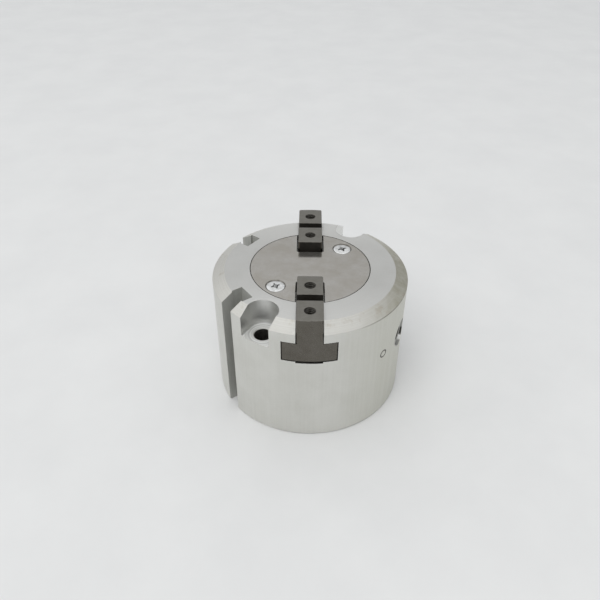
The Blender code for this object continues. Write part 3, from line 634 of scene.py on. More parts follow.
def groove_aluminium():
    """Milled groove walls: an even, dull, darker grey with fine lines along the groove."""
    g = Graph("groove_aluminium", (0.45, 0.45, 0.43), 0.5, 0.4)
    lines = g.noise(3.0, 3.0, stretch=(1, 1, 0.06))
    g.colour(g.mix(g.between(lines), (0.43, 0.433, 0.405), (0.48, 0.482, 0.456)))
    g.roughness(1.5, 0.48, 0.62)
    return g.bump((lines, 0.006))


def pocket_aluminium():
    """Counterbore walls: painted shade and painted reflections in bands along X, darker in the front
    one and bright in the back one, with faint rings from the cutter.
    """
    g = Graph("pocket_aluminium", (0.6, 0.6, 0.575), 0.38, 0.9)
    rings = g.noise(2.5, 3.0, stretch=(0.02, 0.02, 1))
    # Painted shade and painted reflections: the wall's colour steps lighter, darker and then bright
    # along X.
    base = g.mix(g.toward(X, -18.5, -15.5), (0.60, 0.60, 0.575), (0.73, 0.73, 0.71))
    base = g.mix(g.toward(X, -13.5, -10.5), base, (0.52, 0.52, 0.50))
    base = g.mix(g.toward(X, -6.0, 0.0), base, (0.86, 0.86, 0.84))
    g.colour(g.mix(g.between(rings, 0.0, 0.3), base, (0.68, 0.68, 0.66)))
    g.roughness(4.0, 0.35, 0.43)
    return g.bump((rings, 0.002))


def spot_faced_aluminium():
    """Bright floor of a counterbore, with the end mill's rings round the mounting hole."""
    g = Graph("spot_faced_aluminium", (0.7, 0.7, 0.67), 0.4, 0.5)
    hole = polar(MOUNT_CIRCLE_RADIUS / MM, MOUNT_ANGLES[1])
    rings = g.noise(1.5, 2.0, stretch=(1, 0, 0), source=g.off_hole(hole))
    g.colour(g.mix(g.between(rings), (0.60, 0.60, 0.58), (0.90, 0.90, 0.88)))
    g.roughness(3.0, 0.36, 0.46)
    return g.bump((rings, 0.004))


def port_aluminium():
    """Wall of a port's spot face, in bands of painted light and shade up the upper port's; the lower
    port's wall takes the lowest band's grey.
    """
    g = Graph("port_aluminium", (0.6, 0.6, 0.58), 0.4, 0.6)
    height = PORTS[0][1] / MM
    marks = g.between(g.noise(3.0, 3.0, stretch=(1, 1, 0.3)))
    bright = g.mix(marks, (0.74, 0.74, 0.72), (0.86, 0.86, 0.84))
    # Painted light and shade in bands up the upper port's wall: grey below, then a painted highlight, a
    # near-black painted shadow, and grey at the top.
    base = g.mix(g.toward(Z, height - 4.55, height - 4.3), (0.30, 0.30, 0.28), bright)
    base = g.mix(g.toward(Z, height - 3.75, height - 3.35), base, (0.06, 0.057, 0.05))
    g.colour(g.mix(g.toward(Z, height - 1.7, height - 1.0), base, (0.42, 0.42, 0.40)))
    g.roughness(3.0, 0.36, 0.48)
    return g.bump((marks, 0.002))


def engraved():
    """Dark, rough floor of an engraved line."""
    g = Graph("engraved", (0.2, 0.19, 0.17), 0.7)
    g.colour(g.mottled(4.0, 4.0, (0.10, 0.095, 0.085), (0.24, 0.23, 0.21)))
    return g.bump((g.noise(9.0), 0.01))


def cover_steel():
    """Ground plate with a brownish, mottled oxide tint and fine grinding lines."""
    g = Graph("cover_steel", (0.37, 0.35, 0.32), 0.4, 0.9)
    patch = g.between(g.noise(0.16, 6.0), at=(0.36, 0.64))
    speck = g.between(g.noise(1.7, 5.0), 0.0, 0.5, (0.52, 0.72))
    base = g.mix(patch, (0.432, 0.408, 0.366), (0.492, 0.474, 0.444))
    g.colour(g.mix(g.between(speck, 0.0, 0.6, (0.0, 1.0)), base, (0.37, 0.34, 0.30)))
    g.roughness(2.5, 0.12, 0.16)
    lines = g.noise(5.0, 2.0, stretch=(0.08, 1, 1))
    return g.bump((lines, 0.0006))


def finger_steel():
    """Hardened black-oxide steel: dark brown-grey with milling marks across it."""
    g = Graph("finger_steel", (0.11, 0.1, 0.085), 0.27, 1.0)
    patch = g.between(g.noise(0.35, 5.0))
    marks = g.noise(4.0, 3.0, stretch=(0.12, 1, 1))
    base = g.mix(patch, (0.122, 0.112, 0.095), (0.142, 0.132, 0.115))
    g.colour(g.mix(g.between(marks, 0.0, 0.3), base, (0.16, 0.15, 0.135)))
    g.roughness(2.5, 0.22, 0.33)
    return g.bump((marks, 0.008), (g.noise(8.0, 2.0), 0.003))


def finger_top_steel():
    """The same steel where it is ground: lighter, with straight fine lines across the finger."""
    g = Graph("finger_top_steel", (0.2, 0.19, 0.165), 0.38, 1.0)
    patch = g.between(g.noise(0.5, 5.0))
    lines = g.noise(6.0, 3.0, stretch=(0.07, 1, 1))
    base = g.mix(patch, (0.205, 0.194, 0.170), (0.240, 0.230, 0.206))
    g.colour(g.mix(g.between(lines, 0.0, 0.4), base, (0.28, 0.268, 0.242)))
    g.roughness(2.5, 0.30, 0.44)
    return g.bump((lines, 0.007), (g.noise(8.0, 2.0), 0.003))


def thread_steel():
    """Tapped holes in the fingers: black oxide with cutting oil left in it."""
    g = Graph("thread_steel", (0.03, 0.028, 0.025), 0.45, 0.6)
    g.colour(g.mottled(1.5, 4.0, (0.08, 0.074, 0.064), (0.15, 0.142, 0.126)))
    g.roughness(3.0, 0.38, 0.55)
    return g.bump((g.noise(6.0), 0.004))


def shaded_black_steel():
    """The fingers' inner ends and keyway walls: dull, slightly mottled, and painted near-black as
    painted shade.
    """
    g = Graph("shaded_black_steel", (0.014, 0.012, 0.01), 0.55)
    g.set("Specular IOR Level", 0.35)
    # Painted shade: near-black, for the shade between the fingers and in the keyway.
    g.colour(g.mottled(0.9, 5.0, (0.012, 0.0105, 0.008), (0.022, 0.019, 0.015)))
    g.roughness(3.0, 0.5, 0.65)
    return g.bump((g.noise(6.0), 0.004))


def worn_and_gap_shade_steel():
    """The fingers' edges, where the black finish has rubbed thin; on the cover, darker than the plate
    round the screw heads as painted shade.
    """
    g = Graph("worn_and_gap_shade_steel", (0.2, 0.19, 0.17), 0.35, 0.9)
    g.colour(g.mottled(0.9, 5.0, (0.15, 0.138, 0.12), (0.30, 0.285, 0.26)))
    g.roughness(3.0, 0.28, 0.42)
    return g.bump((g.noise(6.0), 0.003))


def zinc_plate():
    """Bright zinc-plated screw."""
    g = Graph("zinc_plate", (0.78, 0.78, 0.77), 0.2, 1.0)
    g.colour(g.mottled(0.9, 5.0, (0.68, 0.68, 0.665), (0.96, 0.96, 0.95)))
    g.roughness(4.0, 0.12, 0.24)
    return g.bump((g.noise(5.0), 0.004), (g.noise(1.3, 2.0), 0.06))


def recess_steel():
    """Driver recess of a screw: dull plating, blotched dark as painted shade in the pit, with some
    dirt.
    """
    g = Graph("recess_steel", (0.3, 0.3, 0.29), 0.3, 1.0)
    # Painted shade: dark blotches in the recess, where the pit is shaded.
    g.colour(g.mottled(1.6, 4.0, (0.20, 0.20, 0.195), (0.86, 0.86, 0.85)))
    g.roughness(4.0, 0.22, 0.40)
    return g.bump((g.noise(6.0), 0.004))


def tool_steel():
    """Hidden hardened pieces: dark oxide with an even grain."""
    g = Graph("tool_steel", (0.09, 0.085, 0.08), 0.4, 0.85)
    g.colour(g.mottled(0.8, 5.0, (0.07, 0.066, 0.062), (0.13, 0.124, 0.116)))
    g.roughness(2.0, 0.34, 0.50)
    return g.bump((g.noise(6.0), 0.004))


def moulded(name, dark, light, roughness):
    """Moulded rubber or plastic: matte, with fine grain and slight blotches."""
    g = Graph(name, dark, roughness)
    g.colour(g.mottled(0.6, 5.0, dark, light))
    g.roughness(2.5, roughness - 0.08, roughness + 0.1)
    return g.bump((g.noise(7.0, 3.0), 0.006))


# Body ------------


def groove_points(radius, depth_radius, low, high):
    """Four points of a turned profile: into a square groove in a wall, and out again."""
    return [(radius, low), (depth_radius, low), (depth_radius, high), (radius, high)]


def body_profile():
    return [
        (BODY_RADIUS - TOP_CHAMFER_WIDTH, BODY_HEIGHT),
        (BODY_RADIUS, BODY_HEIGHT - TOP_CHAMFER_HEIGHT),
        (BODY_RADIUS, REAR_CHAMFER),
        (BODY_RADIUS - REAR_CHAMFER, 0.0),
        (SEAT_RADIUS + REAR_CHAMFER, 0.0),
        (SEAT_RADIUS, REAR_CHAMFER),
        *groove_points(SEAT_RADIUS, RING_GROOVE_RADIUS, *RING_GROOVE),
        (SEAT_RADIUS, CYLINDER[0]),
        (CYLINDER_RADIUS, CYLINDER[0]),
        (CYLINDER_RADIUS, CYLINDER[1]),
        (ROD_BORE_RADIUS, CYLINDER[1]),
        *groove_points(ROD_BORE_RADIUS, ROD_SEAL_GROOVE_RADIUS, *ROD_SEAL_GROOVE),
        (ROD_BORE_RADIUS, CAM_CHAMBER_LOW),
        (CAM_CHAMBER_RADIUS, CAM_CHAMBER_LOW),
        (CAM_CHAMBER_RADIUS, COVER_SEAT_HEIGHT),
        (COVER_SEAT_RADIUS, COVER_SEAT_HEIGHT),
        (COVER_SEAT_RADIUS, BODY_HEIGHT),
    ]


def slot_cutters():
    reach, top = BODY_RADIUS + OVERCUT, BODY_HEIGHT + OVERCUT
    stem_x, t_x = STEM_SLOT_WIDTH / 2, T_SLOT_WIDTH / 2
    cutters = [
        box("stem_slot", (-stem_x, -reach, STEM_SLOT_LOW), (stem_x, reach, top)),
        box("t_slot", (-t_x, -reach, T_SLOT[0]), (t_x, reach, T_SLOT[1])),
    ]
    for angle in GROOVE_ANGLES:
        for width, end in ((GROOVE_MOUTH_WIDTH, reach), (GROOVE_CHAMBER_WIDTH, GROOVE_LIP_DISTANCE)):
            low = (GROOVE_FLOOR_DISTANCE, -width / 2, -OVERCUT)
            cutters.append(turn(box("groove", low, (end, width / 2, top)), angle))
    return cutters


def mount_cutters(angle):
    """A through hole, in a round-ended counterbore that leaves through the body's side."""
    reach = BODY_RADIUS + 2 * OVERCUT
    rows = []
    for i in range(CURVE_STEPS + 1):
        tilt = math.radians(90 * i / CURVE_STEPS)
        radius = COUNTERBORE_RADIUS - COUNTERBORE_FILLET * (1 - math.sin(tilt))
        height = COUNTERBORE_FLOOR + COUNTERBORE_FILLET * (1 - math.cos(tilt))
        ends = arc(radius, 90, 270, 32, (MOUNT_CIRCLE_RADIUS, 0.0))
        rows.append((ends + [(reach, -radius), (reach, radius)], height))
    rows.append((rows[-1][0], BODY_HEIGHT + OVERCUT))
    centre = polar(MOUNT_CIRCLE_RADIUS, angle).xy
    radius, top = MOUNT_HOLE_RADIUS, COUNTERBORE_FLOOR
    wide = radius + MOUNT_HOLE_CHAMFER + OVERCUT
    return [
        turn(lofted("counterbore", rows), angle),
        cylinder("mount_hole", radius, -OVERCUT, top + OVERCUT, centre, 48),
        cylinder("mount_edge", radius, top - MOUNT_HOLE_CHAMFER, top + OVERCUT, centre, 48, wide),
    ]


def port_cutters(angle, height, inner_height):
    """A spot face, then its threaded hole and the passage to the cylinder."""
    face = polar(PORT_SPOTFACE_DISTANCE, angle, height)
    outside = polar(BODY_RADIUS + 2 * OVERCUT, angle, height)
    spot_depth = BODY_RADIUS + 2 * OVERCUT - PORT_SPOTFACE_DISTANCE
    spot = cylinder("spotface", PORT_SPOTFACE_RADIUS, 0.0, spot_depth, segments=96)
    hole_depth = PORT_SPOTFACE_DISTANCE - PORT_HOLE_END
    thread = threaded_rod(M5_THREAD, hole_depth, mouth=PORT_MOUTH_RADIUS)
    start = polar(CYLINDER_RADIUS - OVERCUT, angle, inner_height)
    end = polar(PORT_HOLE_END + PORT_PASSAGE_RADIUS, angle, height)
    passage = cylinder("passage", PORT_PASSAGE_RADIUS, 0.0, (end - start).length, segments=24)
    return aim(spot, face, outside), [aim(thread, face, outside), aim(passage, start, end)]


def mark_cutter():
    """A small plain ring, engraved beside the port."""
    bpy.ops.mesh.primitive_torus_add(
        major_radius=MARK_RADIUS, minor_radius=MARK_LINE, major_segments=48, minor_segments=10
    )
    start = polar(BODY_RADIUS - MARK_SINK, MARK_ANGLE, MARK_HEIGHT)
    return aim(bpy.context.object, start, start + polar(OVERCUT, MARK_ANGLE))


def body_finish(face):
    """Which finish a face of the body gets, from where it lies and which way it looks."""
    centre, up = face.calc_center_median(), face.normal.z
    radius = centre.xy.length
    for angle in MOUNT_ANGLES:
        along = polar(1.0, angle)
        past_hole = centre.dot(along) - MOUNT_CIRCLE_RADIUS
        off_axis = math.hypot(min(past_hole, 0.0), centre.xy.cross(along.xy))
        inside = off_axis < COUNTERBORE_RADIUS + NEAR and centre.z > COUNTERBORE_FLOOR - NEAR / 2
        if inside and past_hole > -COUNTERBORE_RADIUS - 2 * EDGE_ZONE:
            return "floor" if up > NEARLY_LEVEL else "pocket"
        if (centre.xy - polar(MOUNT_CIRCLE_RADIUS, angle).xy).length < MOUNT_HOLE_RADIUS + NEAR:
            return "shaded_wall"
    for angle in GROOVE_ANGLES:
        along = polar(1.0, angle)
        depth, side = centre.dot(along), abs(centre.xy.cross(along.xy))
        in_mouth = side < GROOVE_MOUTH_WIDTH / 2 + NEAR and radius < BODY_RADIUS - 4 * EDGE_ZONE
        in_chamber = side < GROOVE_CHAMBER_WIDTH / 2 + NEAR and depth < GROOVE_LIP_DISTANCE
        if (in_mouth or in_chamber) and depth > GROOVE_FLOOR_DISTANCE - NEAR and abs(up) < STEEP:
            return "groove"
    # The T-slot's walls take the near-black painted shade, for the gap lines round the fingers.
    in_slot = abs(centre.x) < T_SLOT_WIDTH / 2 + EDGE_ZONE and radius < BODY_RADIUS - EDGE_ZONE
    if in_slot and STEM_SLOT_LOW - EDGE_ZONE < centre.z < T_SLOT[1] + EDGE_ZONE:
        return "shaded_wall"
    off_mark = (centre - polar(BODY_RADIUS, MARK_ANGLE, MARK_HEIGHT)).length
    if off_mark < MARK_RADIUS + MARK_LINE and radius < BODY_RADIUS - NEAR / 2:
        return "engraved"
    for angle, height, _ in PORTS:
        outwards = polar(1.0, angle)
        off_axis = (centre - polar(PORT_HOLE_END, angle, height)).cross(outwards).length
        distance = centre.dot(outwards)
        if off_axis < PORT_SPOTFACE_RADIUS + NEAR and CYLINDER_RADIUS < distance < BODY_RADIUS:
            if face.normal.dot(outwards) > LEVEL and distance > PORT_SPOTFACE_DISTANCE - OVERCUT:
                return "groove"
            return "shaded_wall" if off_axis < PORT_MOUTH_RADIUS + NEAR else "port"
    if radius > BODY_RADIUS - TOP_CHAMFER_WIDTH and TILTED[0] < up < TILTED[1]:
        return "machined"
    if up > LEVEL and centre.z > BODY_HEIGHT - NEAR / 2:
        return "turned"
    if radius < COVER_SEAT_RADIUS + NEAR and centre.z > COVER_SEAT_HEIGHT - EDGE_ZONE:
        return "groove" if up > NEARLY_LEVEL else "shaded_wall"
    in_bore = radius < SEAT_RADIUS + 2 * EDGE_ZONE and centre.z < CYLINDER[1] + 2 * EDGE_ZONE
    return "honed" if in_bore else "anodised"


def edge_of_slot(edge):
    """Whether an edge runs along the T-slot, which stays sharp against the fingers."""
    return all(
        SLOT_MIDDLE < abs(v.co.x) < T_SLOT_WIDTH / 2 + 2 * EDGE_ZONE
        and v.co.z > STEM_SLOT_LOW - 2 * EDGE_ZONE
        and abs(v.co.y) > CAM_CHAMBER_RADIUS
        for v in edge.verts
    )


def make_body():
    cutters, late = slot_cutters(), []
    for angle in MOUNT_ANGLES:
        cutters += mount_cutters(angle)
    for angle in DOWEL_ANGLES:
        centre = polar(MOUNT_CIRCLE_RADIUS, angle).xy
        cutters.append(cylinder("dowel", DOWEL_RADIUS, -OVERCUT, DOWEL_DEPTH, centre, 48))
    for port in PORTS:
        spot, holes = port_cutters(*port)
        cutters.append(spot)
        late += holes
    bottom, top = BODY_HEIGHT - SCREW_LENGTH - OVERCUT, COVER_SEAT_HEIGHT + OVERCUT
    for offset in (-SCREW_OFFSET, SCREW_OFFSET):
        late.append(cylinder("screw_hole", SCREW_HOLE_RADIUS, bottom, top, (offset, offset), 32))
    late.append(mark_cutter())
    body = cut(turned("body_shell", body_profile()), cutters)
    body = cut(break_edges(body, EDGE_BREAK, keep=edge_of_slot), late)
    finish_piece(body, "body_shell", ["body"], BODY_FINISHES, body_finish)


# Cover plate and screws ------------


def cover_slot_outline(sign):
    half, reach = COVER_SLOT_WIDTH / 2, COVER_RADIUS + OVERCUT
    x, y = half - COVER_SLOT_CORNER, COVER_SLOT_END + COVER_SLOT_CORNER
    right = arc(COVER_SLOT_CORNER, 0, -90, 8, (x, y))
    left = arc(COVER_SLOT_CORNER, -90, -180, 8, (-x, y))
    return [(sign * x, sign * y) for x, y in [(half, reach)] + right + left + [(-half, reach)]]


def off_screw(point):
    """Distance of a point from the axis of the nearer cover screw."""
    offset = math.copysign(SCREW_OFFSET, point.x)
    return math.hypot(point.x - offset, point.y - offset)


def cover_finish(face):
    # The countersink walls take the darker steel as painted shade in the gap round the screw heads.
    near_screw = off_screw(face.calc_center_median()) < COUNTERSINK_RADIUS
    return "worn_and_gap_shade" if near_screw and abs(face.normal.z) < TILTED[1] else "cover"


def screw_finish(face):
    centre = face.calc_center_median()
    in_recess = off_screw(centre) < RECESS_WIDTH / 2 and centre.z > SCREW_TOP - RECESS_DEPTH - NEAR
    return "recess" if in_recess and abs(face.normal.z) < TILTED[1] else "zinc"


def make_cover():
    cutters = []
    low, high = COVER_LOW - OVERCUT, BODY_HEIGHT + OVERCUT
    depth = COUNTERSINK_RADIUS - SCREW_HOLE_RADIUS + COUNTERSINK_OVERLAP
    narrow, wide = COUNTERSINK_RADIUS - depth, COUNTERSINK_RADIUS + OVERCUT
    for sign in (-1, 1):
        centre = (sign * SCREW_OFFSET, sign * SCREW_OFFSET)
        cutters += [
            prism("cover_slot", cover_slot_outline(sign), low, high),
            cylinder("cover_hole", SCREW_HOLE_RADIUS, low, BODY_HEIGHT, centre, 48),
            cylinder("countersink", narrow, BODY_HEIGHT - depth, high, centre, 64, wide),
        ]
    disc = cylinder("cover_disc", COVER_RADIUS, COVER_LOW, BODY_HEIGHT, segments=ROUND_STEPS)
    disc = break_edges(cut(disc, cutters), COVER_EDGE)
    finishes = ("cover", "worn_and_gap_shade")
    finish_piece(disc, "cover_disc", ["cover_plate"], finishes, cover_finish)


def recess_cutters():
    """Four tapering wings round a pointed pit, to cut a screw's recess with."""
    x, y = RECESS_WIDTH / 2, RECESS_THICKNESS / 2
    low, high = -RECESS_DEPTH, RECESS_OVERCUT
    narrow, wide = RECESS_PIT_RADII
    pit = cylinder("pit", narrow, SCREW_TOP + low, SCREW_TOP + high, segments=24, top_radius=wide)
    cutters = [pit]
    for angle in RECESS_ANGLES:
        wing = box("wing", (-x, -y, low), (x, y, high))
        for vertex in wing.data.vertices:
            if vertex.co.z < 0:
                vertex.co.x *= RECESS_TAPER[0]
                vertex.co.y *= RECESS_TAPER[1]
        cutters.append(moved(turn(wing, angle), 0.0, 0.0, SCREW_TOP))
    return cutters


def make_screw(name, offset):
    """A countersunk cross-recessed screw with a slightly domed head and a rolled thread."""
    under_head = SCREW_TOP - SCREW_HEAD_HEIGHT
    head = [
        (SCREW_DOME_RADIUS * i / CURVE_STEPS, SCREW_TOP - SCREW_DOME * (i / CURVE_STEPS) ** 2)
        for i in range(CURVE_STEPS + 1)
    ]
    head += [
        (SCREW_HEAD_RADIUS, SCREW_TOP - SCREW_DOME - SCREW_EDGE),
        (SCREW_HEAD_RADIUS, SCREW_TOP - SCREW_RIM),
        (SCREW_NECK_RADIUS, under_head),
        (SCREW_NECK_RADIUS, under_head - SCREW_NECK_LENGTH),
        (0.0, under_head - SCREW_NECK_LENGTH),
    ]
    shank = threaded_rod(M3_THREAD, SCREW_LENGTH - SCREW_HEAD_HEIGHT - SHANK_START)
    shank = moved(shank, 0.0, 0.0, under_head - SHANK_START)
    screw = cut(cut(turned(name, head, 64), [shank], "UNION"), recess_cutters())
    screw, node = moved(screw, offset, offset, 0.0), name.replace("_detail", "")
    finish_piece(screw, name, [node], ("zinc", "recess"), screw_finish)


# Fingers ------------


def leaning(obj):
    """Shears obj along Y with height, to follow the wedge."""
    shear = Matrix.Identity(4)
    shear[1][2] = -WEDGE_SLOPE
    shear[1][3] = WEDGE_SLOPE * WEDGE_HEIGHT
    obj.data.transform(shear)
    return obj


def stem_outline(half):
    """The stem seen from above: rounded inner corners, and a plain end beyond the body."""
    x, y = half - FINGER_CORNER, FINGER_INNER + FINGER_CORNER
    left = arc(FINGER_CORNER, 180, 270, 8, (-x, y))
    right = arc(FINGER_CORNER, 270, 360, 8, (x, y))
    return left + right + [(half, BODY_RADIUS + OVERCUT), (-half, BODY_RADIUS + OVERCUT)]


def outer_corner_outline(half, side):
    """What is cut from one outer corner of the stem to round it, tangent to its side and its end."""
    x, far = half - FINGER_CORNER, half + 2 * OVERCUT
    y = math.sqrt((FINGER_OUTER_RADIUS - FINGER_CORNER) ** 2 - x**2)
    end = math.degrees(math.atan2(y, x))
    outside = polar(FINGER_OUTER_RADIUS + 2 * OVERCUT, end)
    points = arc(FINGER_CORNER, 0, end, 8, (x, y)) + [tuple(outside.xy), (far, outside.y), (far, y)]
    return points if side > 0 else [(-px, py) for px, py in reversed(points)]


def off_finger_hole(point):
    """Distance of a point from the axis of the nearer hole of a finger on either side."""
    across = abs(point.y) - KEYWAY_CENTRE
    return min(math.hypot(point.x, across - side * FINGER_HOLE_PITCH / 2) for side in (-1, 1))


def edge_of_finger_hole(edge):
    return min(off_finger_hole(vertex.co) for vertex in edge.verts) < M4_THREAD[1] + 4 * EDGE_ZONE


def finger_finish(face):
    """Which finish a finger's face gets. Break_edges has put the rubbed edges in slot 1."""
    centre = face.calc_center_median()
    depth = FINGER_TOP - centre.z
    in_keyway = abs(abs(centre.y) - KEYWAY_CENTRE) < KEYWAY_SIZE / 2 + NEAR
    inner_end = abs(centre.y) < FINGER_INNER + NEAR and centre.z > T_SLOT[1]
    # Inner ends and keyway walls take the near-black painted shade.
    if depth > 2 * EDGE_ZONE and (inner_end or in_keyway and depth < KEYWAY_SIZE + 2 * EDGE_ZONE):
        return "shaded_black"
    if off_finger_hole(centre) < M4_THREAD[1] + EDGE_ZONE and depth > NEAR / 2:
        return "thread" if depth > FINGER_HOLE_MOUTH else "finger_top"
    if face.material_index == 1:
        return "worn_and_gap_shade" if centre.z > T_SLOT[1] else "finger"
    return "finger_top" if face.normal.z > NEARLY_LEVEL and centre.z > BODY_HEIGHT else "finger"


def make_finger(name, node, degrees):
    """A finger built on +Y in the closed pose, then turned about Z to its own side."""
    half, stem = T_SLOT_WIDTH / 2 - SLIDE_GAP - T_SHRINK, STEM_SLOT_WIDTH / 2 - SLIDE_GAP
    low, high, top = T_SLOT[0] + SLIDE_GAP, T_SLOT[1] - SLIDE_GAP - T_SHRINK, FINGER_TOP + OVERCUT
    reach = BODY_RADIUS + WEDGE_SLOPE * (T_SLOT[1] - WEDGE_HEIGHT)
    head_x, head_y, neck = HOOK_HEAD[0] / 2, HOOK_HEAD[1] / 2, HOOK_NECK_WIDTH / 2
    head_low, head_high = (-head_x, HOOK_CENTRE - head_y, low), (head_x, HOOK_CENTRE + head_y, high)
    block = leaning(box(name, (-half, FINGER_FACE, low), (half, reach, high)))
    added = [
        leaning(box("hook_neck", (-neck, HOOK_CENTRE, low), (neck, FINGER_FACE + OVERCUT, high))),
        leaning(box("hook_head", head_low, head_high)),
        prism("stem", stem_outline(stem), high - OVERCUT, FINGER_TOP),
    ]
    end = cylinder("end", FINGER_OUTER_RADIUS, T_SLOT[0], top, segments=FINGER_END_STEPS)
    finger = cut(cut(block, added, "UNION"), [end], "INTERSECT")
    corners = [prism("corner", outer_corner_outline(stem, side), high, top) for side in (-1, 1)]
    finger = cut(finger, corners)
    key_low, key_high = KEYWAY_CENTRE - KEYWAY_SIZE / 2, KEYWAY_CENTRE + KEYWAY_SIZE / 2
    cutters = [box("keyway", (-half, key_low, FINGER_TOP - KEYWAY_SIZE), (half, key_high, top))]
    for side in (-1, 1):
        hole = threaded_rod(M4_THREAD, FINGER_HOLE_DEPTH, mouth=FINGER_HOLE_MOUTH_RADIUS)
        cutters.append(moved(hole, 0.0, KEYWAY_CENTRE + side * FINGER_HOLE_PITCH / 2, FINGER_TOP))
    finger = break_edges(cut(finger, cutters), FINGER_EDGE, keep=edge_of_finger_hole)
    finishes = ("finger", "worn_and_gap_shade", "finger_top", "thread", "shaded_black")
    finish_piece(turn(finger, degrees), name, [node], finishes, finger_finish, node)


# Rear end ------------


def make_end_plate():
    """A turned plate with a seal groove round it and a shallow dish in its outer face."""
    low, high = (corner.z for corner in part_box("end_plate"))
    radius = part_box("end_plate")[1].x
    profile = [
        (0.0, high),
        (radius - END_PLATE_EDGE, high),
        (radius, high - END_PLATE_EDGE),
        *groove_points(radius, END_SEAL_GROOVE_RADIUS, *reversed(END_SEAL_GROOVE)),
        (radius, low + END_PLATE_EDGE),
        (radius - END_PLATE_EDGE, low),
        (DISH_RADIUS, low),
        (DISH_RADIUS - DISH_DEPTH, low + DISH_DEPTH),
        (0.0, low + DISH_DEPTH),
    ]
    plate = break_edges(turned("end_plate_detail", profile), EDGE_BREAK)
    finish_piece(plate, "end_plate_detail", ["end_plate"], ("turned",))


def make_retaining_ring():
    """An internal snap ring, stamped: an eccentric band with an eyelet at each free end."""
    low, high = (corner.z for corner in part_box("retaining_ring"))
    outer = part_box("retaining_ring")[1].y
    bore = []
    for i in range(SNAP_RING_STEPS, -1, -1):
        angle = SNAP_RING_END + (360 - 2 * SNAP_RING_END) * i / SNAP_RING_STEPS
        band = SNAP_RING_BAND - SNAP_RING_SWING * math.cos(math.radians(angle))
        bore.append(tuple(polar(outer - band, angle).xy))
    rim = arc(outer, SNAP_RING_END, 360 - SNAP_RING_END, SNAP_RING_STEPS)
    band = prism("retaining_ring_detail", rim + bore, low, high)
    eyelets, holes = [], []
    for angle in (SNAP_RING_END, -SNAP_RING_END):
        centre = polar(outer - EYELET_INSET, angle).xy
        eyelets.append(cylinder("eyelet", EYELET_RADIUS, low, high, centre, 72))
        holes.append(
            cylinder("eyelet_hole", EYELET_HOLE_RADIUS, low - OVERCUT, high + OVERCUT, centre, 40)
        )
    ring = break_edges(cut(cut(band, eyelets, "UNION"), holes), EDGE_BREAK)
    finish_piece(ring, "retaining_ring_detail", ["retaining_ring"], ("tool",))


# Carried-over CAD nodes ------------


def dress_node(node, material):
    """Gives a CAD node its material, and smooth round faces through modifiers."""
    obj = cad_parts[node]
    obj.data.materials.clear()
    obj.data.materials.append(material)
    obj.data.shade_smooth()
    obj.modifiers.new("weld", "WELD").merge_threshold = WELD_DISTANCE
    obj.modifiers.new("split", "EDGE_SPLIT").split_angle = SMOOTH_ANGLE


# Scene ------------


def make_camera():
    data = bpy.data.cameras.new("camera")
    data.lens = CAMERA_LENS
    data.sensor_width = SENSOR_WIDTH
    data.clip_start = CLIP_START
    obj = place("camera", data)
    back = Vector(CAMERA_PLACE) - Vector(CAMERA_AIM)
    level = back.to_track_quat("Z", "Y").to_matrix().to_4x4()
    roll = Matrix.Rotation(math.radians(CAMERA_ROLL), 4, "Z")
    obj.matrix_world = Matrix.Translation(CAMERA_PLACE) @ level @ roll
    bpy.context.scene.camera = obj


def make_light():
    """One large soft lamp overhead, which isn't mirrored in the metal."""
    data = bpy.data.lights.new("overhead", "AREA")
    data.shape = "DISK"
    data.size = LIGHT_SIZE
    data.energy = LIGHT_POWER
    data.color = LIGHT_COLOUR
    obj = place("overhead", data)
    obj.location = LIGHT_PLACE
    obj.rotation_mode = "QUATERNION"
    obj.rotation_quaternion = Vector(LIGHT_PLACE).to_track_quat("Z", "Y")
    obj.visible_glossy = False


def make_world():
    """A pale room that is brighter overhead and a little dimmer on the right."""
    world = bpy.data.worlds.new("studio")
    world.use_nodes = True
    bpy.context.scene.world = world
    nodes, links = world.node_tree.nodes, world.node_tree.links
    coordinates = nodes.new("ShaderNodeTexCoord")
    slope = nodes.new(VECTOR_MATH)
    slope.operation = "DOT_PRODUCT"
    slope.inputs[1].default_value = SKY_DIRECTION
    ramp = nodes.new("ShaderNodeMapRange")
    ramp.inputs["To Min"].default_value, ramp.inputs["To Max"].default_value = SKY_RANGE
    links.new(coordinates.outputs["Generated"], slope.inputs[0])
    links.new(slope.outputs["Value"], ramp.inputs["Value"])
    background = nodes["Background"]
    background.inputs["Color"].default_value = SKY_COLOUR
    links.new(ramp.outputs[0], background.inputs["Strength"])


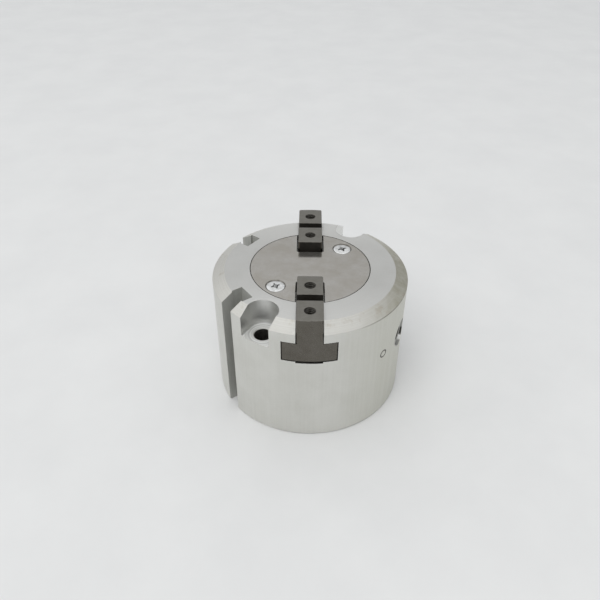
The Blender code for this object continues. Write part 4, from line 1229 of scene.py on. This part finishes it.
def make_floor():
    bm = bmesh.new()
    bmesh.ops.create_grid(bm, x_segments=2, y_segments=2, size=FLOOR_REACH)
    floor = from_bmesh("floor", bm)
    floor.location.z = -FLOOR_DROP
    g = Graph("floor_paint", (0.8, 0.8, 0.8), 0.6)
    g.colour(g.mottled(0.03, 5.0, (0.715, 0.718, 0.716), (0.745, 0.748, 0.744)))
    floor.data.materials.append(g.material)


make_camera()
MATERIALS = {
    "anodised": anodised_aluminium(),
    "machined": machined_aluminium(),
    "honed": honed_bore(),
    "shaded_wall": shaded_wall_aluminium(),
    "engraved": engraved(),
    "groove": groove_aluminium(),
    "turned": turned_aluminium(),
    "pocket": pocket_aluminium(),
    "floor": spot_faced_aluminium(),
    "port": port_aluminium(),
    "cover": cover_steel(),
    "zinc": zinc_plate(),
    "recess": recess_steel(),
    "finger": finger_steel(),
    "finger_top": finger_top_steel(),
    "thread": thread_steel(),
    "shaded_black": shaded_black_steel(),
    "worn_and_gap_shade": worn_and_gap_shade_steel(),
    "tool": tool_steel(),
    "rubber": moulded("nitrile_rubber", (0.018, 0.018, 0.02), (0.035, 0.035, 0.037), 0.6),
    "urethane": moulded("urethane", (0.50, 0.24, 0.06), (0.62, 0.33, 0.11), 0.5),
    "magnet": moulded("magnet_strip", (0.045, 0.04, 0.04), (0.085, 0.08, 0.078), 0.6),
    "resin": moulded("wear_resin", (0.72, 0.68, 0.55), (0.80, 0.76, 0.65), 0.45),
}
make_body()
make_cover()
make_screw("cover_screw_front_detail", -SCREW_OFFSET)
make_screw("cover_screw_back_detail", SCREW_OFFSET)
make_finger("finger_back_detail", "finger_back", 0)
make_finger("finger_front_detail", "finger_front", 180)
make_end_plate()
make_retaining_ring()
CARRIED_OVER = {
    "tool": ("cam", "cam_bolt"),
    "zinc": ("cam_pin",),
    "turned": ("piston",),
    "rubber": ("piston_seal", "rod_seal", "bolt_seal", "end_plate_o_ring"),
    "magnet": ("magnet_ring",),
    "resin": ("wear_ring",),
    "urethane": ("front_bumper", "rear_bumper"),
}
for finish_name, node_names in CARRIED_OVER.items():
    for node_name in node_names:
        dress_node(node_name, MATERIALS[finish_name])
make_world()
make_light()
make_floor()
bpy.context.scene.view_settings.view_transform = "Standard"

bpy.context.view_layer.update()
